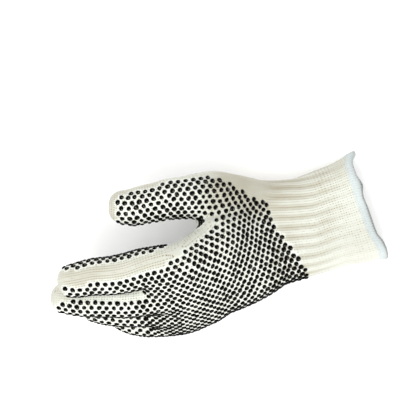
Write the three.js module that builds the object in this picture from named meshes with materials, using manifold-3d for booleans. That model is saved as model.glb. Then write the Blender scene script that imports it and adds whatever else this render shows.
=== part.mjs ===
// A left-hand string-knit work glove, lying on its ulnar edge with the cuff flat.
// Millimetres, +Z up. The fingers point to -X and the cuff's mouth opens to +X.
// The origin is at the middle of the box's underside, on the surface that the glove rests on.
import * as THREE from "three";
import { mergeVertices } from "three/addons/utils/BufferGeometryUtils.js";
import Module from "manifold-3d";

const wasm = await Module();
wasm.setup();

// Driving dimensions
const WALL = 2; // knit thickness
const CUFF_WALL = 2.4; // ribbed knit thickness
const GAP = 0.4; // clear space between neighbouring pieces
const HEM_PROUD = 0.5; // how far the band stands outside the cuff
const RIB_COUNT = 26; // ribs round the cuff
const RIB_DEPTH = 0.7;
const FINGER_ROOT_X = -44; // plane where the four fingers leave the hand
const THUMB_ROOT_X = -5; // plane where the thumb and the knuckles leave the palm
const WRIST_AT = 0.08; // where the cuff starts along its own table, 0 to 1

// Where the glove's tables sit, so that the origin ends up under the middle of its box
const CENTRE = new THREE.Vector3(-0.44, -0.85, 0);

// Each row is one section of a flattened tube: the centre, half the width, half the
// thickness, and the roll in degrees of the width direction from +Y up towards +Z. Where
// the back of the hand is arched, the last column says how far its middle stands out.
const COLUMNS = ["x", "y", "z", "wide", "deep", "roll", "arch"];

const PALM = table([
  [-48, -34, 40, 47, 11, 55, 6],
  [-36, -32, 40, 47.5, 12.6, 54, 6.5],
  [-22, -26.6, 40.6, 44.2, 13.2, 54, 7],
  [-7, -17.2, 36.3, 39, 14, 48, 7],
  [13, -7.2, 25, 40.8, 15.5, 26, 6],
  [31, 5.4, 16.3, 37.9, 16.5, 8, 3],
  [54, 12, 14.8, 37.2, 15.5, 2],
  [60, 13.7, 14.6, 37.2, 15.4, 1],
]);

const CUFF = table([
  [50, 11, 15.2, 37.5, 15.5, 3],
  [54, 12, 14.8, 37.2, 15.5, 2],
  [68, 16, 14.4, 37.2, 15.3, 0],
  [82, 21, 14.1, 37.6, 15, 0],
  [96, 25, 13.6, 39.4, 14.5, 0],
  [109, 29.7, 13.3, 41.4, 14.2, 0],
  [118, 32.7, 13, 42.6, 14, 0],
]);

const THUMB = table([
  [46, 30, 16, 16.5, 15.4, 4],
  [33, 31, 15.7, 16.6, 16, 8],
  [20, 33, 22, 17, 16.4, 14],
  [5, 35.6, 33, 17.8, 16.2, 16],
  [-8, 36.4, 43, 19, 15.2, 16],
  [-19, 37, 49, 16.4, 14, 16],
  [-29, 36, 52.5, 15.3, 13, 16],
  [-39, 35, 55, 14.8, 12.2, 16],
  [-47, 33, 56, 14.2, 12, 16],
  [-57, 31, 56, 13.9, 11.6, 16],
  [-65, 29, 56, 13.3, 11, 16],
  [-71, 29, 56, 12.1, 10, 16],
]);

const FINGERS = {
  index_finger: table([
    [-8, -6, 56, 7, 8, 58],
    [-28, -11, 67, 11.2, 12.8, 62],
    [-46, -13, 68, 11.8, 13.8, 68],
    [-58, -15, 68.5, 11.8, 13.9, 74],
    [-69, -18, 69, 11.6, 13.8, 78],
    [-80, -20, 69, 11.4, 13.4, 78],
    [-93, -21, 69, 11.2, 12.8, 78],
    [-103, -23, 68.5, 10.8, 12.1, 78],
    [-109, -24, 68, 10.2, 11.3, 78],
  ]),
  middle_finger: table([
    [-10, -22, 45, 7, 8, 55],
    [-30, -31, 48, 11.2, 12.4, 55],
    [-46, -35, 50, 11.6, 13.2, 57],
    [-68, -38, 51, 11.6, 13.3, 57],
    [-81, -38, 51, 11.4, 13.1, 57],
    [-93, -38, 51, 11.2, 12.9, 57],
    [-104, -38, 50.5, 10.8, 12.2, 57],
    [-113, -38, 50, 10.2, 11.3, 57],
  ]),
  ring_finger: table([
    [-10, -37, 30, 7, 8, 55],
    [-30, -44, 29.5, 11, 12.2, 55],
    [-47, -46, 29.5, 11.2, 12.7, 55],
    [-61, -47, 30, 11.1, 12.6, 55],
    [-76, -47, 30, 11, 12.4, 55],
    [-87, -46, 30, 10.7, 11.9, 55],
    [-96, -45, 29.5, 9.8, 10.3, 55],
  ]),
  little_finger: table([
    [-11, -46.4, 17, 7, 8, 55],
    [-31, -53, 11.3, 10.9, 11.7, 55],
    [-47, -56, 10.7, 10.8, 11.6, 58],
    [-57, -57, 10.3, 10.6, 11.4, 60],
    [-67, -55.6, 9.9, 10.3, 11.1, 60],
    [-76, -54.2, 9.2, 9.6, 9.9, 60],
  ]),
};

// Turns plain rows into sections with named columns.
function table(rows) {
  return rows.map((row) => Object.fromEntries(COLUMNS.map((name, i) => [name, row[i] ?? 0])));
}

// A smooth value between b and c at t from 0 to 1, with a and d as the neighbours.
function smooth(a, b, c, d, t) {
  const bend = 2 * a - 5 * b + 4 * c - d;
  const twist = 3 * (b - c) + d - a;
  return b + 0.5 * t * (c - a + t * (bend + t * twist));
}

// The section at u, from 0 at the first row to 1 at the last.
function sectionAt(rows, u) {
  const place = Math.min(Math.max(u, 0), 1) * (rows.length - 1);
  const i = Math.min(Math.floor(place), rows.length - 2);
  const row = (k) => rows[Math.min(Math.max(k, 0), rows.length - 1)];
  const near = [row(i - 1), row(i), row(i + 1), row(i + 2)];
  return Object.fromEntries(
    COLUMNS.map((name) => [name, smooth(...near.map((r) => r[name]), place - i)]),
  );
}

// The three directions of a section: along the tube, across its width, through its thickness.
function directionsAt(rows, u) {
  const step = 0.01;
  const here = sectionAt(rows, u - step);
  const next = sectionAt(rows, u + step);
  const along = new THREE.Vector3(next.x - here.x, next.y - here.y, next.z - here.z).normalize();
  const level = new THREE.Vector3(0, 0, 1).cross(along).normalize();
  if (level.y < 0) level.negate();
  const across = level.applyAxisAngle(
    new THREE.Vector3(-1, 0, 0),
    -THREE.MathUtils.degToRad(sectionAt(rows, u).roll),
  );
  across.addScaledVector(along, -across.dot(along)).normalize();
  const through = along.clone().cross(across);
  return { along, across, through };
}

// Points round a flattened tube: two half circles joined by straight sides, evenly spaced.
function ringPoints(section, directions, sides, ribDepth) {
  const radius = Math.min(section.wide, section.deep);
  const flat = Math.abs(section.wide - section.deep);
  const isWide = section.wide >= section.deep;
  const long = isWide ? directions.across : directions.through;
  const short = isWide ? directions.through : directions.across.clone().negate();
  const arc = Math.PI * radius;
  const whole = 2 * arc + 4 * flat;
  const points = [];
  for (let k = 0; k < sides; k += 1) {
    let run = (whole * k) / sides;
    let end = 1;
    if (run >= arc + 2 * flat) {
      run -= arc + 2 * flat;
      end = -1;
    }
    const onArc = Math.min(run, arc);
    const angle = onArc / radius - Math.PI / 2;
    const slide = flat - Math.max(run - arc, 0);
    const reach = radius - (k % 2 ? ribDepth : 0);
    const side = end * (slide + reach * Math.cos(angle));
    const rise = section.arch * (1 - Math.min((side / section.wide) ** 2, 1));
    points.push(
      new THREE.Vector3(section.x, section.y, section.z)
        .addScaledVector(long, side)
        .addScaledVector(short, end * reach * Math.sin(angle) + rise),
    );
  }
  return points;
}

// One closed geometry through rings of equal count, with a fan over each end.
function closedLoft(rings) {
  const sides = rings[0].length;
  const positions = rings.flat().flatMap((p) => p.toArray());
  const faces = [];
  const middle = (ring) => ring.reduce((sum, p) => sum.add(p), new THREE.Vector3()).divideScalar(sides);
  const first = rings.length * sides;
  positions.push(...middle(rings[0]).toArray(), ...middle(rings[rings.length - 1]).toArray());
  for (let k = 0; k < sides; k += 1) {
    const next = (k + 1) % sides;
    const last = (rings.length - 1) * sides;
    faces.push(first, next, k);
    faces.push(first + 1, last + k, last + next);
    for (let r = 0; r < rings.length - 1; r += 1) {
      const a = r * sides + k;
      const b = r * sides + next;
      faces.push(a, b, b + sides, a, b + sides, a + sides);
    }
  }
  return new THREE.BufferGeometry()
    .setAttribute("position", new THREE.BufferAttribute(new Float32Array(positions), 3))
    .setIndex(faces);
}

// A solid for joining and cutting, always with its faces out.
function solidOf(geometry) {
  const plain = geometry.clone();
  plain.deleteAttribute("normal");
  plain.deleteAttribute("uv");
  const merged = mergeVertices(plain, 1e-4);
  const build = (triVerts) =>
    new wasm.Manifold(
      new wasm.Mesh({ numProp: 3, vertProperties: merged.attributes.position.array, triVerts }),
    );
  const triVerts = new Uint32Array(merged.index.array);
  const solid = build(triVerts);
  if (solid.volume() > 0) return solid;
  for (let i = 0; i < triVerts.length; i += 3) {
    [triVerts[i + 1], triVerts[i + 2]] = [triVerts[i + 2], triVerts[i + 1]];
  }
  return build(triVerts);
}

// A tube through a table, from u0 to u1, made smaller all round by inset, with a round
// end after the last section where domed is set.
function tube(rows, { steps, sides, inset = 0, from = 0, to = 1, domed = false, ribDepth = 0 }) {
  const rings = [];
  const inner = (section) => ({
    ...section,
    wide: section.wide - inset,
    deep: section.deep - inset,
  });
  for (let i = 0; i <= steps; i += 1) {
    const u = from + ((to - from) * i) / steps;
    rings.push(ringPoints(inner(sectionAt(rows, u)), directionsAt(rows, u), sides, ribDepth));
  }
  if (domed) {
    const end = inner(sectionAt(rows, to));
    const directions = directionsAt(rows, to);
    for (const turn of [25, 48, 68, 84]) {
      const angle = THREE.MathUtils.degToRad(turn);
      const ahead = Math.min(end.wide, end.deep) * Math.sin(angle);
      const shrunk = {
        ...end,
        x: end.x + directions.along.x * ahead,
        y: end.y + directions.along.y * ahead,
        z: end.z + directions.along.z * ahead,
        wide: end.wide * Math.cos(angle),
        deep: end.deep * Math.cos(angle),
      };
      rings.push(ringPoints(shrunk, directions, sides, 0));
    }
  }
  return solidOf(closedLoft(rings));
}

// A large block that fills the side of a plane that the normal points to.
function halfSpace(point, normal) {
  const size = 600;
  const box = new THREE.BoxGeometry(size, size, size);
  box.translate(0, 0, size / 2);
  box.applyQuaternion(
    new THREE.Quaternion().setFromUnitVectors(new THREE.Vector3(0, 0, 1), normal.clone().normalize()),
  );
  box.translate(point.x, point.y, point.z);
  return solidOf(box);
}

const DOWN = new THREE.Vector3(0, 0, -1);
const FLOOR = halfSpace(new THREE.Vector3(0, 0, 0), DOWN);
const FLOOR_WALL = halfSpace(new THREE.Vector3(0, 0, WALL), DOWN);

// The block past the finger roots, moved by shift along +X.
const pastFingerRoots = (shift) =>
  halfSpace(new THREE.Vector3(FINGER_ROOT_X + shift, 0, 0), new THREE.Vector3(-1, 0, 0));

// The block past the roots of the thumb and the knuckles, moved by shift along +X.
const pastPalm = (shift) =>
  halfSpace(new THREE.Vector3(THUMB_ROOT_X + shift, 0, 0), new THREE.Vector3(-1, 0, 0));

// The plane half way between two neighbouring fingers, as a block on the second one's side.
function beyondNeighbour(rows, otherRows, shift) {
  const place = 0.55;
  const here = sectionAt(rows, place);
  const u = nearestPlace(otherRows, here);
  const other = sectionAt(otherRows, u);
  const toOther = new THREE.Vector3(0, other.y - here.y, other.z - here.z).normalize();
  const middle = new THREE.Vector3(here.x, (here.y + other.y) / 2, (here.z + other.z) / 2);
  return halfSpace(middle.addScaledVector(toOther, shift), toOther);
}

// The place along a table with the same x as a given section.
function nearestPlace(rows, section) {
  let best = 0;
  for (let i = 0; i <= 100; i += 1) {
    const miss = Math.abs(sectionAt(rows, i / 100).x - section.x);
    if (miss < Math.abs(sectionAt(rows, best).x - section.x)) best = i / 100;
  }
  return best;
}

const FINGER_ORDER = ["index_finger", "middle_finger", "ring_finger", "little_finger"];

// A finger's tube on its own.
const wholeFinger = (name, inset, steps, sides) =>
  tube(FINGERS[name], { steps, sides, inset, domed: true });

// A finger's tube, kept on its own side of its neighbours.
function fingerTube(name, inset, steps, sides) {
  const rows = FINGERS[name];
  const place = FINGER_ORDER.indexOf(name);
  let solid = wholeFinger(name, inset, steps, sides);
  for (const other of [place - 1, place + 1]) {
    if (!FINGER_ORDER[other]) continue;
    solid = solid.subtract(beyondNeighbour(rows, FINGERS[FINGER_ORDER[other]], -GAP / 2 - inset));
  }
  return solid;
}

// The knit wall between an outer and an inner solid, flattened on the floor.
const wallBetween = (outer, inner) =>
  outer.subtract(FLOOR).subtract(inner.subtract(FLOOR_WALL));

// The outside of the hand, or the hollow in it, with the thumb and the fingers on it.
function handSolid(inset, fingerOf) {
  let solid = tube(PALM, { steps: 9, sides: 34, inset });
  solid = solid.add(tube(THUMB, { steps: 12, sides: 20, inset, domed: true }));
  for (const name of FINGER_ORDER) {
    solid = solid.add(fingerOf(name, inset, 8, 16));
  }
  return solid;
}

const wristPlane = (shift) => {
  const section = sectionAt(CUFF, WRIST_AT);
  const { along } = directionsAt(CUFF, WRIST_AT);
  const point = new THREE.Vector3(section.x, section.y, section.z).addScaledVector(along, shift);
  return halfSpace(point, along);
};

// The block that holds the free thumb and no part of the fingers' side of the hand.
const THUMB_SIDE = halfSpace(new THREE.Vector3(-20, 18, 40), new THREE.Vector3(0, 1, 0.1));

const handWall = wallBetween(handSolid(0, wholeFinger), handSolid(WALL, fingerTube));

const makePalm = () => handWall.subtract(pastPalm(GAP / 2)).subtract(wristPlane(-GAP / 2));

// The knuckles' wall, without the sliver of the thumb's wall that the planes leave beside it.
function makeKnuckles() {
  const wall = handWall
    .intersect(pastPalm(-GAP / 2))
    .subtract(THUMB_SIDE)
    .subtract(pastFingerRoots(GAP / 2));
  return wall.decompose().reduce((a, b) => (b.volume() > a.volume() ? b : a));
}

function makeThumb() {
  const outer = tube(THUMB, { steps: 15, sides: 20, domed: true });
  const inner = tube(THUMB, { steps: 15, sides: 20, domed: true, inset: WALL });
  return outer.subtract(inner).intersect(pastPalm(-GAP / 2)).intersect(THUMB_SIDE);
}

function makeFinger(name) {
  return wallBetween(fingerTube(name, 0, 11, 18), fingerTube(name, WALL, 11, 18))
    .intersect(pastFingerRoots(-GAP / 2));
}

// The cuff's length that the hem takes, as a share of the cuff's table.
const HEM_FROM = 0.77;
const HEM_TO = 0.855;

function makeCuff() {
  const outer = tube(CUFF, { steps: 9, sides: 2 * RIB_COUNT, from: 0, to: HEM_FROM, ribDepth: RIB_DEPTH });
  const inner = tube(CUFF, { steps: 10, sides: 32, inset: CUFF_WALL });
  return wallBetween(outer, inner).intersect(wristPlane(GAP / 2));
}

function makeHem() {
  const from = HEM_FROM + 0.008;
  const band = tube(CUFF, { steps: 2, sides: 48, from, to: HEM_TO, inset: -HEM_PROUD });
  const inner = tube(CUFF, { steps: 10, sides: 32, inset: CUFF_WALL });
  return wallBetween(band, inner);
}

// A named mesh from a joined solid.
function meshOf(name, solid, material) {
  const result = solid.getMesh();
  const vertices = new Float32Array(result.numVert * 3);
  for (let i = 0; i < result.numVert; i += 1) {
    for (let axis = 0; axis < 3; axis += 1) {
      vertices[3 * i + axis] = result.vertProperties[result.numProp * i + axis];
    }
  }
  const geometry = new THREE.BufferGeometry()
    .setAttribute("position", new THREE.BufferAttribute(vertices, 3))
    .setIndex(new THREE.BufferAttribute(result.triVerts, 1));
  geometry.computeVertexNormals();
  const mesh = new THREE.Mesh(geometry, material);
  mesh.name = name;
  return mesh;
}

const cream = new THREE.MeshStandardMaterial({ color: 0xece8d4, roughness: 0.95, metalness: 0 });
const white = new THREE.MeshStandardMaterial({ color: 0xe4eeec, roughness: 0.9, metalness: 0 });

const glove = new THREE.Group();
glove.position.copy(CENTRE);
glove.add(meshOf("cuff", makeCuff(), cream));
glove.add(meshOf("cuff_hem", makeHem(), white));
glove.add(meshOf("palm", makePalm(), cream));
glove.add(meshOf("knuckles", makeKnuckles(), cream));
glove.add(meshOf("thumb", makeThumb(), cream));
for (const name of FINGER_ORDER) {
  glove.add(meshOf(name, makeFinger(name), cream));
}

export default glove;
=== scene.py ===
"""A knit work glove with printed PVC dots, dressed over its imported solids.

The glove is built in millimetres from the same section tables as its solids and turned
into metres when a mesh is made. The fingers point to -X, the cuff's mouth opens to +X,
and the glove rests on z = 0.
"""
import logging
import math
from dataclasses import dataclass, field
from enum import Enum

import bmesh
import bpy
import numpy as np
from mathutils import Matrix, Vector
from mathutils.kdtree import KDTree


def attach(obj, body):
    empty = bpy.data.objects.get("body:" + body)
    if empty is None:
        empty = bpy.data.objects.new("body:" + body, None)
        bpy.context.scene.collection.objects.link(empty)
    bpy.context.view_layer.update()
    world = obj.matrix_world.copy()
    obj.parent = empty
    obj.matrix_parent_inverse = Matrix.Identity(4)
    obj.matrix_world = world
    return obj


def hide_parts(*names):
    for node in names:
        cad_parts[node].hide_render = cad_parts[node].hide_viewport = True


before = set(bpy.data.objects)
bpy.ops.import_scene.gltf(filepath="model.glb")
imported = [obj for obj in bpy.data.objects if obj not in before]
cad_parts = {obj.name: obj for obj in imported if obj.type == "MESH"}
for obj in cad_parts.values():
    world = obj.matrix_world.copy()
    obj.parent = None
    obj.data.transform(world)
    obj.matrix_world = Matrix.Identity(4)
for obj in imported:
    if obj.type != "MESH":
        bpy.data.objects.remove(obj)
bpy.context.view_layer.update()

LOG = logging.getLogger("glove")
BODY = "root"
METRES = 0.001
ORIGIN_SHIFT = np.array([-0.44, -0.85, 0.0])
FAR = 30.0


class Side(Enum):
    """The two printed faces of the flat glove."""

    BACK = 1
    PALM = -1


def unit(vectors: np.ndarray) -> np.ndarray:
    """Returns the vectors, one a row, at length one."""
    return vectors / np.maximum(np.linalg.norm(vectors, axis=-1, keepdims=True), 1e-9)


def smooth_rows(rows: np.ndarray, places: np.ndarray) -> np.ndarray:
    """Reads a table between its rows with a smooth curve through them.

    Args:
        rows: the table, one section a row.
        places: row numbers to read at, whole or between.

    Returns:
        One interpolated row for each place.
    """
    last = len(rows) - 1
    places = np.clip(places, 0, last)
    i = np.minimum(np.floor(places).astype(int), last - 1)
    t = (places - i)[:, None]
    a, b, c, d = (rows[np.clip(i + k, 0, last)] for k in (-1, 0, 1, 2))
    bend = 2 * a - 5 * b + 4 * c - d
    twist = 3 * (b - c) + d - a
    return b + 0.5 * t * (c - a + t * (bend + t * twist))


@dataclass
class Tube:
    """A knit tube through a short table of sections, from the wrist towards a tip.

    Each row holds x, y, z of the centre, half the width, half the thickness, the roll
    in degrees of the width direction from +Y up towards +Z, and, where the back of the
    tube is arched, how far its middle stands out. Lengths are in millimetres.

    Attributes:
        name: the tube's name.
        rows: the table of sections.
        run_start: how far along the knit the tube begins.
        round_start: how far round the knit its thumb-side edge lies.
        bare_back: the unprinted width beside the thumb-side edge, on the back.
        bare_palm: the same on the palm's side.
        bare_far_edge: the unprinted width beside the other edge.
        bare_tip: the unprinted length at the tip.
        bare_until: the x beyond which the edges are printed over.
        spacing: the step between the samples.
    """

    name: str
    rows: tuple[tuple[float, ...], ...]
    run_start: float = 0.0
    round_start: float = 0.0
    bare_back: float = 6.0
    bare_palm: float = 6.0
    bare_far_edge: float = 3.0
    bare_tip: float = 5.5
    bare_until: float = FAR
    spacing: float = 1.5

    def __post_init__(self) -> None:
        """Samples the table at even steps and works out each sample's directions."""
        columns, fine_steps = 7, 600
        table = np.array([tuple(row) + (0.0,) * (columns - len(row)) for row in self.rows], float)
        fine = smooth_rows(table, np.linspace(0, len(table) - 1, fine_steps))
        length = np.concatenate([[0], np.cumsum(np.linalg.norm(np.diff(fine[:, :3], axis=0), axis=1))])
        count = max(int(length[-1] / self.spacing), 4)
        even = np.linspace(0, length[-1], count)
        self.samples = np.stack([np.interp(even, length, fine[:, k]) for k in range(columns)], 1)
        self.run = even + self.run_start
        self.centre = self.samples[:, :3] + ORIGIN_SHIFT
        self.wide = self.samples[:, 3]
        self.deep = self.samples[:, 4]
        self.arch = self.samples[:, 6]
        self.toward = unit(np.gradient(self.centre, axis=0))
        level = unit(np.cross([0.0, 0.0, 1.0], self.toward))
        level[level[:, 1] < 0] *= -1
        roll = np.radians(self.samples[:, 5])[:, None]
        across = level * np.cos(roll) + np.cross([1.0, 0.0, 0.0], level) * np.sin(roll)
        across -= self.toward * np.sum(across * self.toward, 1, keepdims=True)
        self.across = unit(across)
        self.back = np.cross(self.across, self.toward)
        self.radius = np.minimum(self.wide, self.deep)
        self.flat = np.abs(self.wide - self.deep)
        self.is_wide = self.wide >= self.deep

    def distance(self, points: np.ndarray) -> tuple[np.ndarray, np.ndarray]:
        """Measures how far points are outside the tube's surface.

        Args:
            points: places in millimetres, one a row.

        Returns:
            The distances, negative inside, and the nearest sample of each point.
        """
        margin = 9.0
        best = np.full(len(points), FAR)
        nearest = np.zeros(len(points), int)
        reach = float(max(self.wide.max(), self.deep.max())) + margin
        low = self.centre.min(0) - reach
        high = self.centre.max(0) + reach
        near = np.nonzero(np.all((points > low) & (points < high), axis=1))[0]
        if not len(near):
            return best, nearest
        some = points[near]
        found = np.full(len(near), FAR)
        which = np.zeros(len(near), int)
        for j in range(len(self.centre)):
            offset = some - self.centre[j]
            ahead = offset @ self.toward[j]
            side = offset @ self.across[j]
            up = offset @ self.back[j] - self.arch[j] * (1 - np.minimum((side / self.wide[j]) ** 2, 1))
            if self.is_wide[j]:
                side = side - np.clip(side, -self.flat[j], self.flat[j])
            else:
                up = up - np.clip(up, -self.flat[j], self.flat[j])
            gap = np.sqrt(ahead**2 + side**2 + up**2) - self.radius[j]
            closer = gap < found
            found[closer] = gap[closer]
            which[closer] = j
        best[near] = found
        nearest[near] = which
        return best, nearest

    def local(self, points: np.ndarray, nearest: np.ndarray) -> tuple[np.ndarray, ...]:
        """Gives knit coordinates on the tube.

        Args:
            points: places in millimetres.
            nearest: the nearest sample of each, from distance().

        Returns:
            The run along the tube, the way round from the thumb-side edge, half the
            tube's girth there, and the height on the back side (negative on the palm).
        """
        offset = points - self.centre[nearest]
        a = np.einsum("ij,ij->i", offset, self.across[nearest])
        b = np.einsum("ij,ij->i", offset, self.back[nearest])
        b = b - self.arch[nearest] * (1 - np.minimum((a / self.wide[nearest]) ** 2, 1))
        run = self.run[nearest] + np.einsum("ij,ij->i", offset, self.toward[nearest])
        wide, deep = self.wide[nearest], self.deep[nearest]
        flat = np.maximum(wide - deep, 0)
        turn = np.where(wide >= deep, deep, (wide + deep) / 2)
        quarter = turn * math.pi / 2
        first = turn * np.arctan2(np.abs(b), np.maximum(a - flat, 1e-6))
        last = turn * np.arctan2(np.abs(b), np.minimum(a + flat, -1e-6)) + 2 * flat
        middle = quarter + flat - a
        way = np.where(a > flat, first, np.where(a < -flat, last, middle))
        return run, way, 2 * quarter + 2 * flat, b

    def between(self, values: np.ndarray, place: float) -> np.ndarray:
        """Reads sampled values between their samples.

        Args:
            values: one value or vector for each sample.
            place: sample number, whole or between.

        Returns:
            The value there.
        """
        j = int(np.clip(math.floor(place), 0, len(self.centre) - 2))
        t = place - j
        return values[j] * (1 - t) + values[j + 1] * t

    def ring(self, place: float, ways: np.ndarray, grow: np.ndarray) -> np.ndarray:
        """Points round the tube at one place along it.

        Args:
            place: sample number, whole or between.
            ways: where each point sits round the ring, 0 to 1 of the girth, from the
                thumb-side edge over the back.
            grow: how far each point stands out of the tube's surface.

        Returns:
            The points, one a row.
        """
        centre = self.between(self.centre, place)
        across = unit(self.between(self.across, place))
        back = unit(self.between(self.back, place))
        wide, deep, arch = (self.between(v, place) for v in (self.wide, self.deep, self.arch))
        flat = wide - deep
        arc = math.pi * deep
        run = (ways % 1.0) * (2 * arc + 4 * flat) + arc / 2
        run %= 2 * arc + 4 * flat
        second = run >= arc + 2 * flat
        run = np.where(second, run - arc - 2 * flat, run)
        angle = np.minimum(run, arc) / deep - math.pi / 2
        slide = flat - np.maximum(run - arc, 0)
        end = np.where(second, -1.0, 1.0)
        reach = deep + grow
        side = end * (slide + reach * np.cos(angle))
        up = end * reach * np.sin(angle) + arch * (1 - np.minimum((side / wide) ** 2, 1))
        return centre + side[:, None] * across + up[:, None] * back


def glove_tubes() -> dict[str, Tube]:
    """Lists the glove's tubes, with the tables that its solids have.

    Returns:
        The tubes by name.
    """
    palm = (
        (118, 32.7, 13, 42.6, 14, 0),
        (109, 29.7, 13.3, 41.4, 14.2, 0),
        (96, 25, 13.6, 39.4, 14.5, 0),
        (82, 21, 14.1, 37.6, 15, 0),
        (68, 16, 14.4, 37.2, 15.3, 0),
        (54, 12, 14.8, 37.2, 15.5, 2),
        (31, 5.4, 16.3, 37.9, 16.5, 8, 3),
        (13, -6.4, 25, 38.2, 15.5, 26, 6),
        (-7, -17.4, 36.3, 39.6, 14, 48, 7),
        (-22, -26.6, 40.6, 44.2, 13.2, 54, 7),
        (-36, -32, 40, 47.5, 12.6, 54, 6.5),
        (-48, -34, 40, 47, 11, 55, 6),
    )
    thumb = (
        (46, 30, 16, 16.5, 15.4, 4),
        (33, 31, 15.7, 16.6, 16, 8),
        (20, 33, 22, 17, 16.4, 14),
        (5, 35.6, 33, 17.8, 16.2, 16),
        (-8, 36.4, 43, 19, 15.2, 16),
        (-19, 37, 49, 16.4, 14, 16),
        (-29, 36, 52.5, 15.3, 13, 16),
        (-39, 35, 55, 14.8, 12.2, 16),
        (-47, 33, 56, 14.2, 12, 16),
        (-57, 31, 56, 13.9, 11.6, 16),
        (-66, 29, 56, 13.3, 11, 16),
        (-73, 29, 56, 12.1, 10, 16),
    )
    index = (
        (-8, -6, 56, 7, 8, 58),
        (-28, -11, 67, 11.2, 12.8, 62),
        (-46, -13, 68, 11.8, 13.8, 68),
        (-58, -15, 68.5, 11.8, 13.9, 74),
        (-69, -18, 69, 11.6, 13.8, 78),
        (-80, -20, 69, 11.4, 13.4, 78),
        (-93, -21, 69, 11.2, 12.8, 78),
        (-103, -23, 68.5, 10.8, 12.1, 78),
        (-109, -24, 68, 10.2, 11.3, 78),
    )
    middle = (
        (-10, -22, 45, 7, 8, 55),
        (-30, -31, 48, 11.2, 12.4, 55),
        (-46, -35, 50, 11.6, 13.2, 57),
        (-68, -38, 51, 11.6, 13.3, 57),
        (-81, -38, 51, 11.4, 13.1, 57),
        (-93, -38, 51, 11.2, 12.9, 57),
        (-104, -38, 50.5, 10.8, 12.2, 57),
        (-115.5, -37, 50, 10.2, 11.0, 57),
    )
    ring = (
        (-10, -37, 30, 7, 8, 55),
        (-30, -44, 29.5, 11, 12.2, 55),
        (-47, -46, 29.5, 11.2, 12.7, 55),
        (-61, -47, 30, 11.1, 12.6, 55),
        (-76, -47, 30, 11, 12.4, 55),
        (-87, -46, 30, 10.7, 11.9, 55),
        (-96, -45, 29.5, 9.8, 10.3, 55),
    )
    little = (
        (-11, -46.4, 17, 7, 8, 55),
        (-31, -52, 11.3, 10.8, 11.6, 55),
        (-47, -56, 10.7, 10.8, 11.6, 58),
        (-57, -57, 10.3, 10.6, 11.4, 60),
        (-67, -55.6, 9.9, 10.3, 11.1, 60),
        (-74, -54.2, 9.2, 9.4, 9.7, 60),
    )
    return {
        "palm": Tube("palm", palm),
        "thumb": Tube("thumb", thumb, run_start=70.0, bare_back=5.6, bare_palm=9.0),
        "index": Tube("index", index, run_start=130.0, bare_back=7.0, bare_palm=7.0, bare_until=-46.0),
        "middle": Tube("middle", middle, run_start=130.0, round_start=28.0, bare_back=7.4),
        "ring": Tube("ring", ring, run_start=130.0, round_start=56.0, bare_back=4.5),
        "little": Tube("little", little, run_start=130.0, round_start=82.0, bare_back=4.5),
    }


@dataclass
class Crease:
    """A fold pressed into the knit between two points."""

    start: tuple[float, float, float]
    end: tuple[float, float, float]
    depth: float
    half_width: float

    def push(self, points: np.ndarray) -> np.ndarray:
        """Says how far the surface is pressed in.

        Args:
            points: places in millimetres.

        Returns:
            A depth for each point, in millimetres.
        """
        a = np.array(self.start)
        line = np.array(self.end) - a
        t = np.clip((points - a) @ line / (line @ line), 0, 1)
        gap = np.linalg.norm(points - a - t[:, None] * line, axis=1)
        ends = np.sin(math.pi * np.clip(t, 0.02, 0.98)) ** 0.5
        return self.depth * ends * np.exp(-((gap / self.half_width) ** 2))


def glove_creases() -> list[Crease]:
    """Lists the folds between the fingers' roots.

    Returns:
        The creases.
    """
    return [
        Crease((-52.0, -29.0, 64.0), (-36.0, -29.5, 62.0), 1.6, 1.5),
        Crease((-44.0, -33.0, 60.0), (-33.0, -35.0, 58.0), 0.9, 1.2),
        Crease((-36.0, -50.0, 36.0), (-24.0, -57.0, 24.0), 0.9, 1.4),
    ]


def ramp(values: np.ndarray, low: float, high: float) -> np.ndarray:
    """Rises smoothly from 0 at low to 1 at high."""
    t = np.clip((values - low) / (high - low), 0, 1)
    return t * t * (3 - 2 * t)


def bump(values: np.ndarray, span: tuple[float, ...]) -> np.ndarray:
    """Rises from 0 to 1 between the span's first two values, and falls between its last two."""
    return ramp(values, *span[:2]) * (1 - ramp(values, *span[2:]))


def blend_in(a: np.ndarray, b: np.ndarray, reach: float | np.ndarray) -> np.ndarray:
    """The union of two distances with a fillet of about that reach."""
    near = np.maximum(reach - np.abs(a - b), 0) / reach
    return np.minimum(a, b) - near**2 * reach / 4


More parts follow.
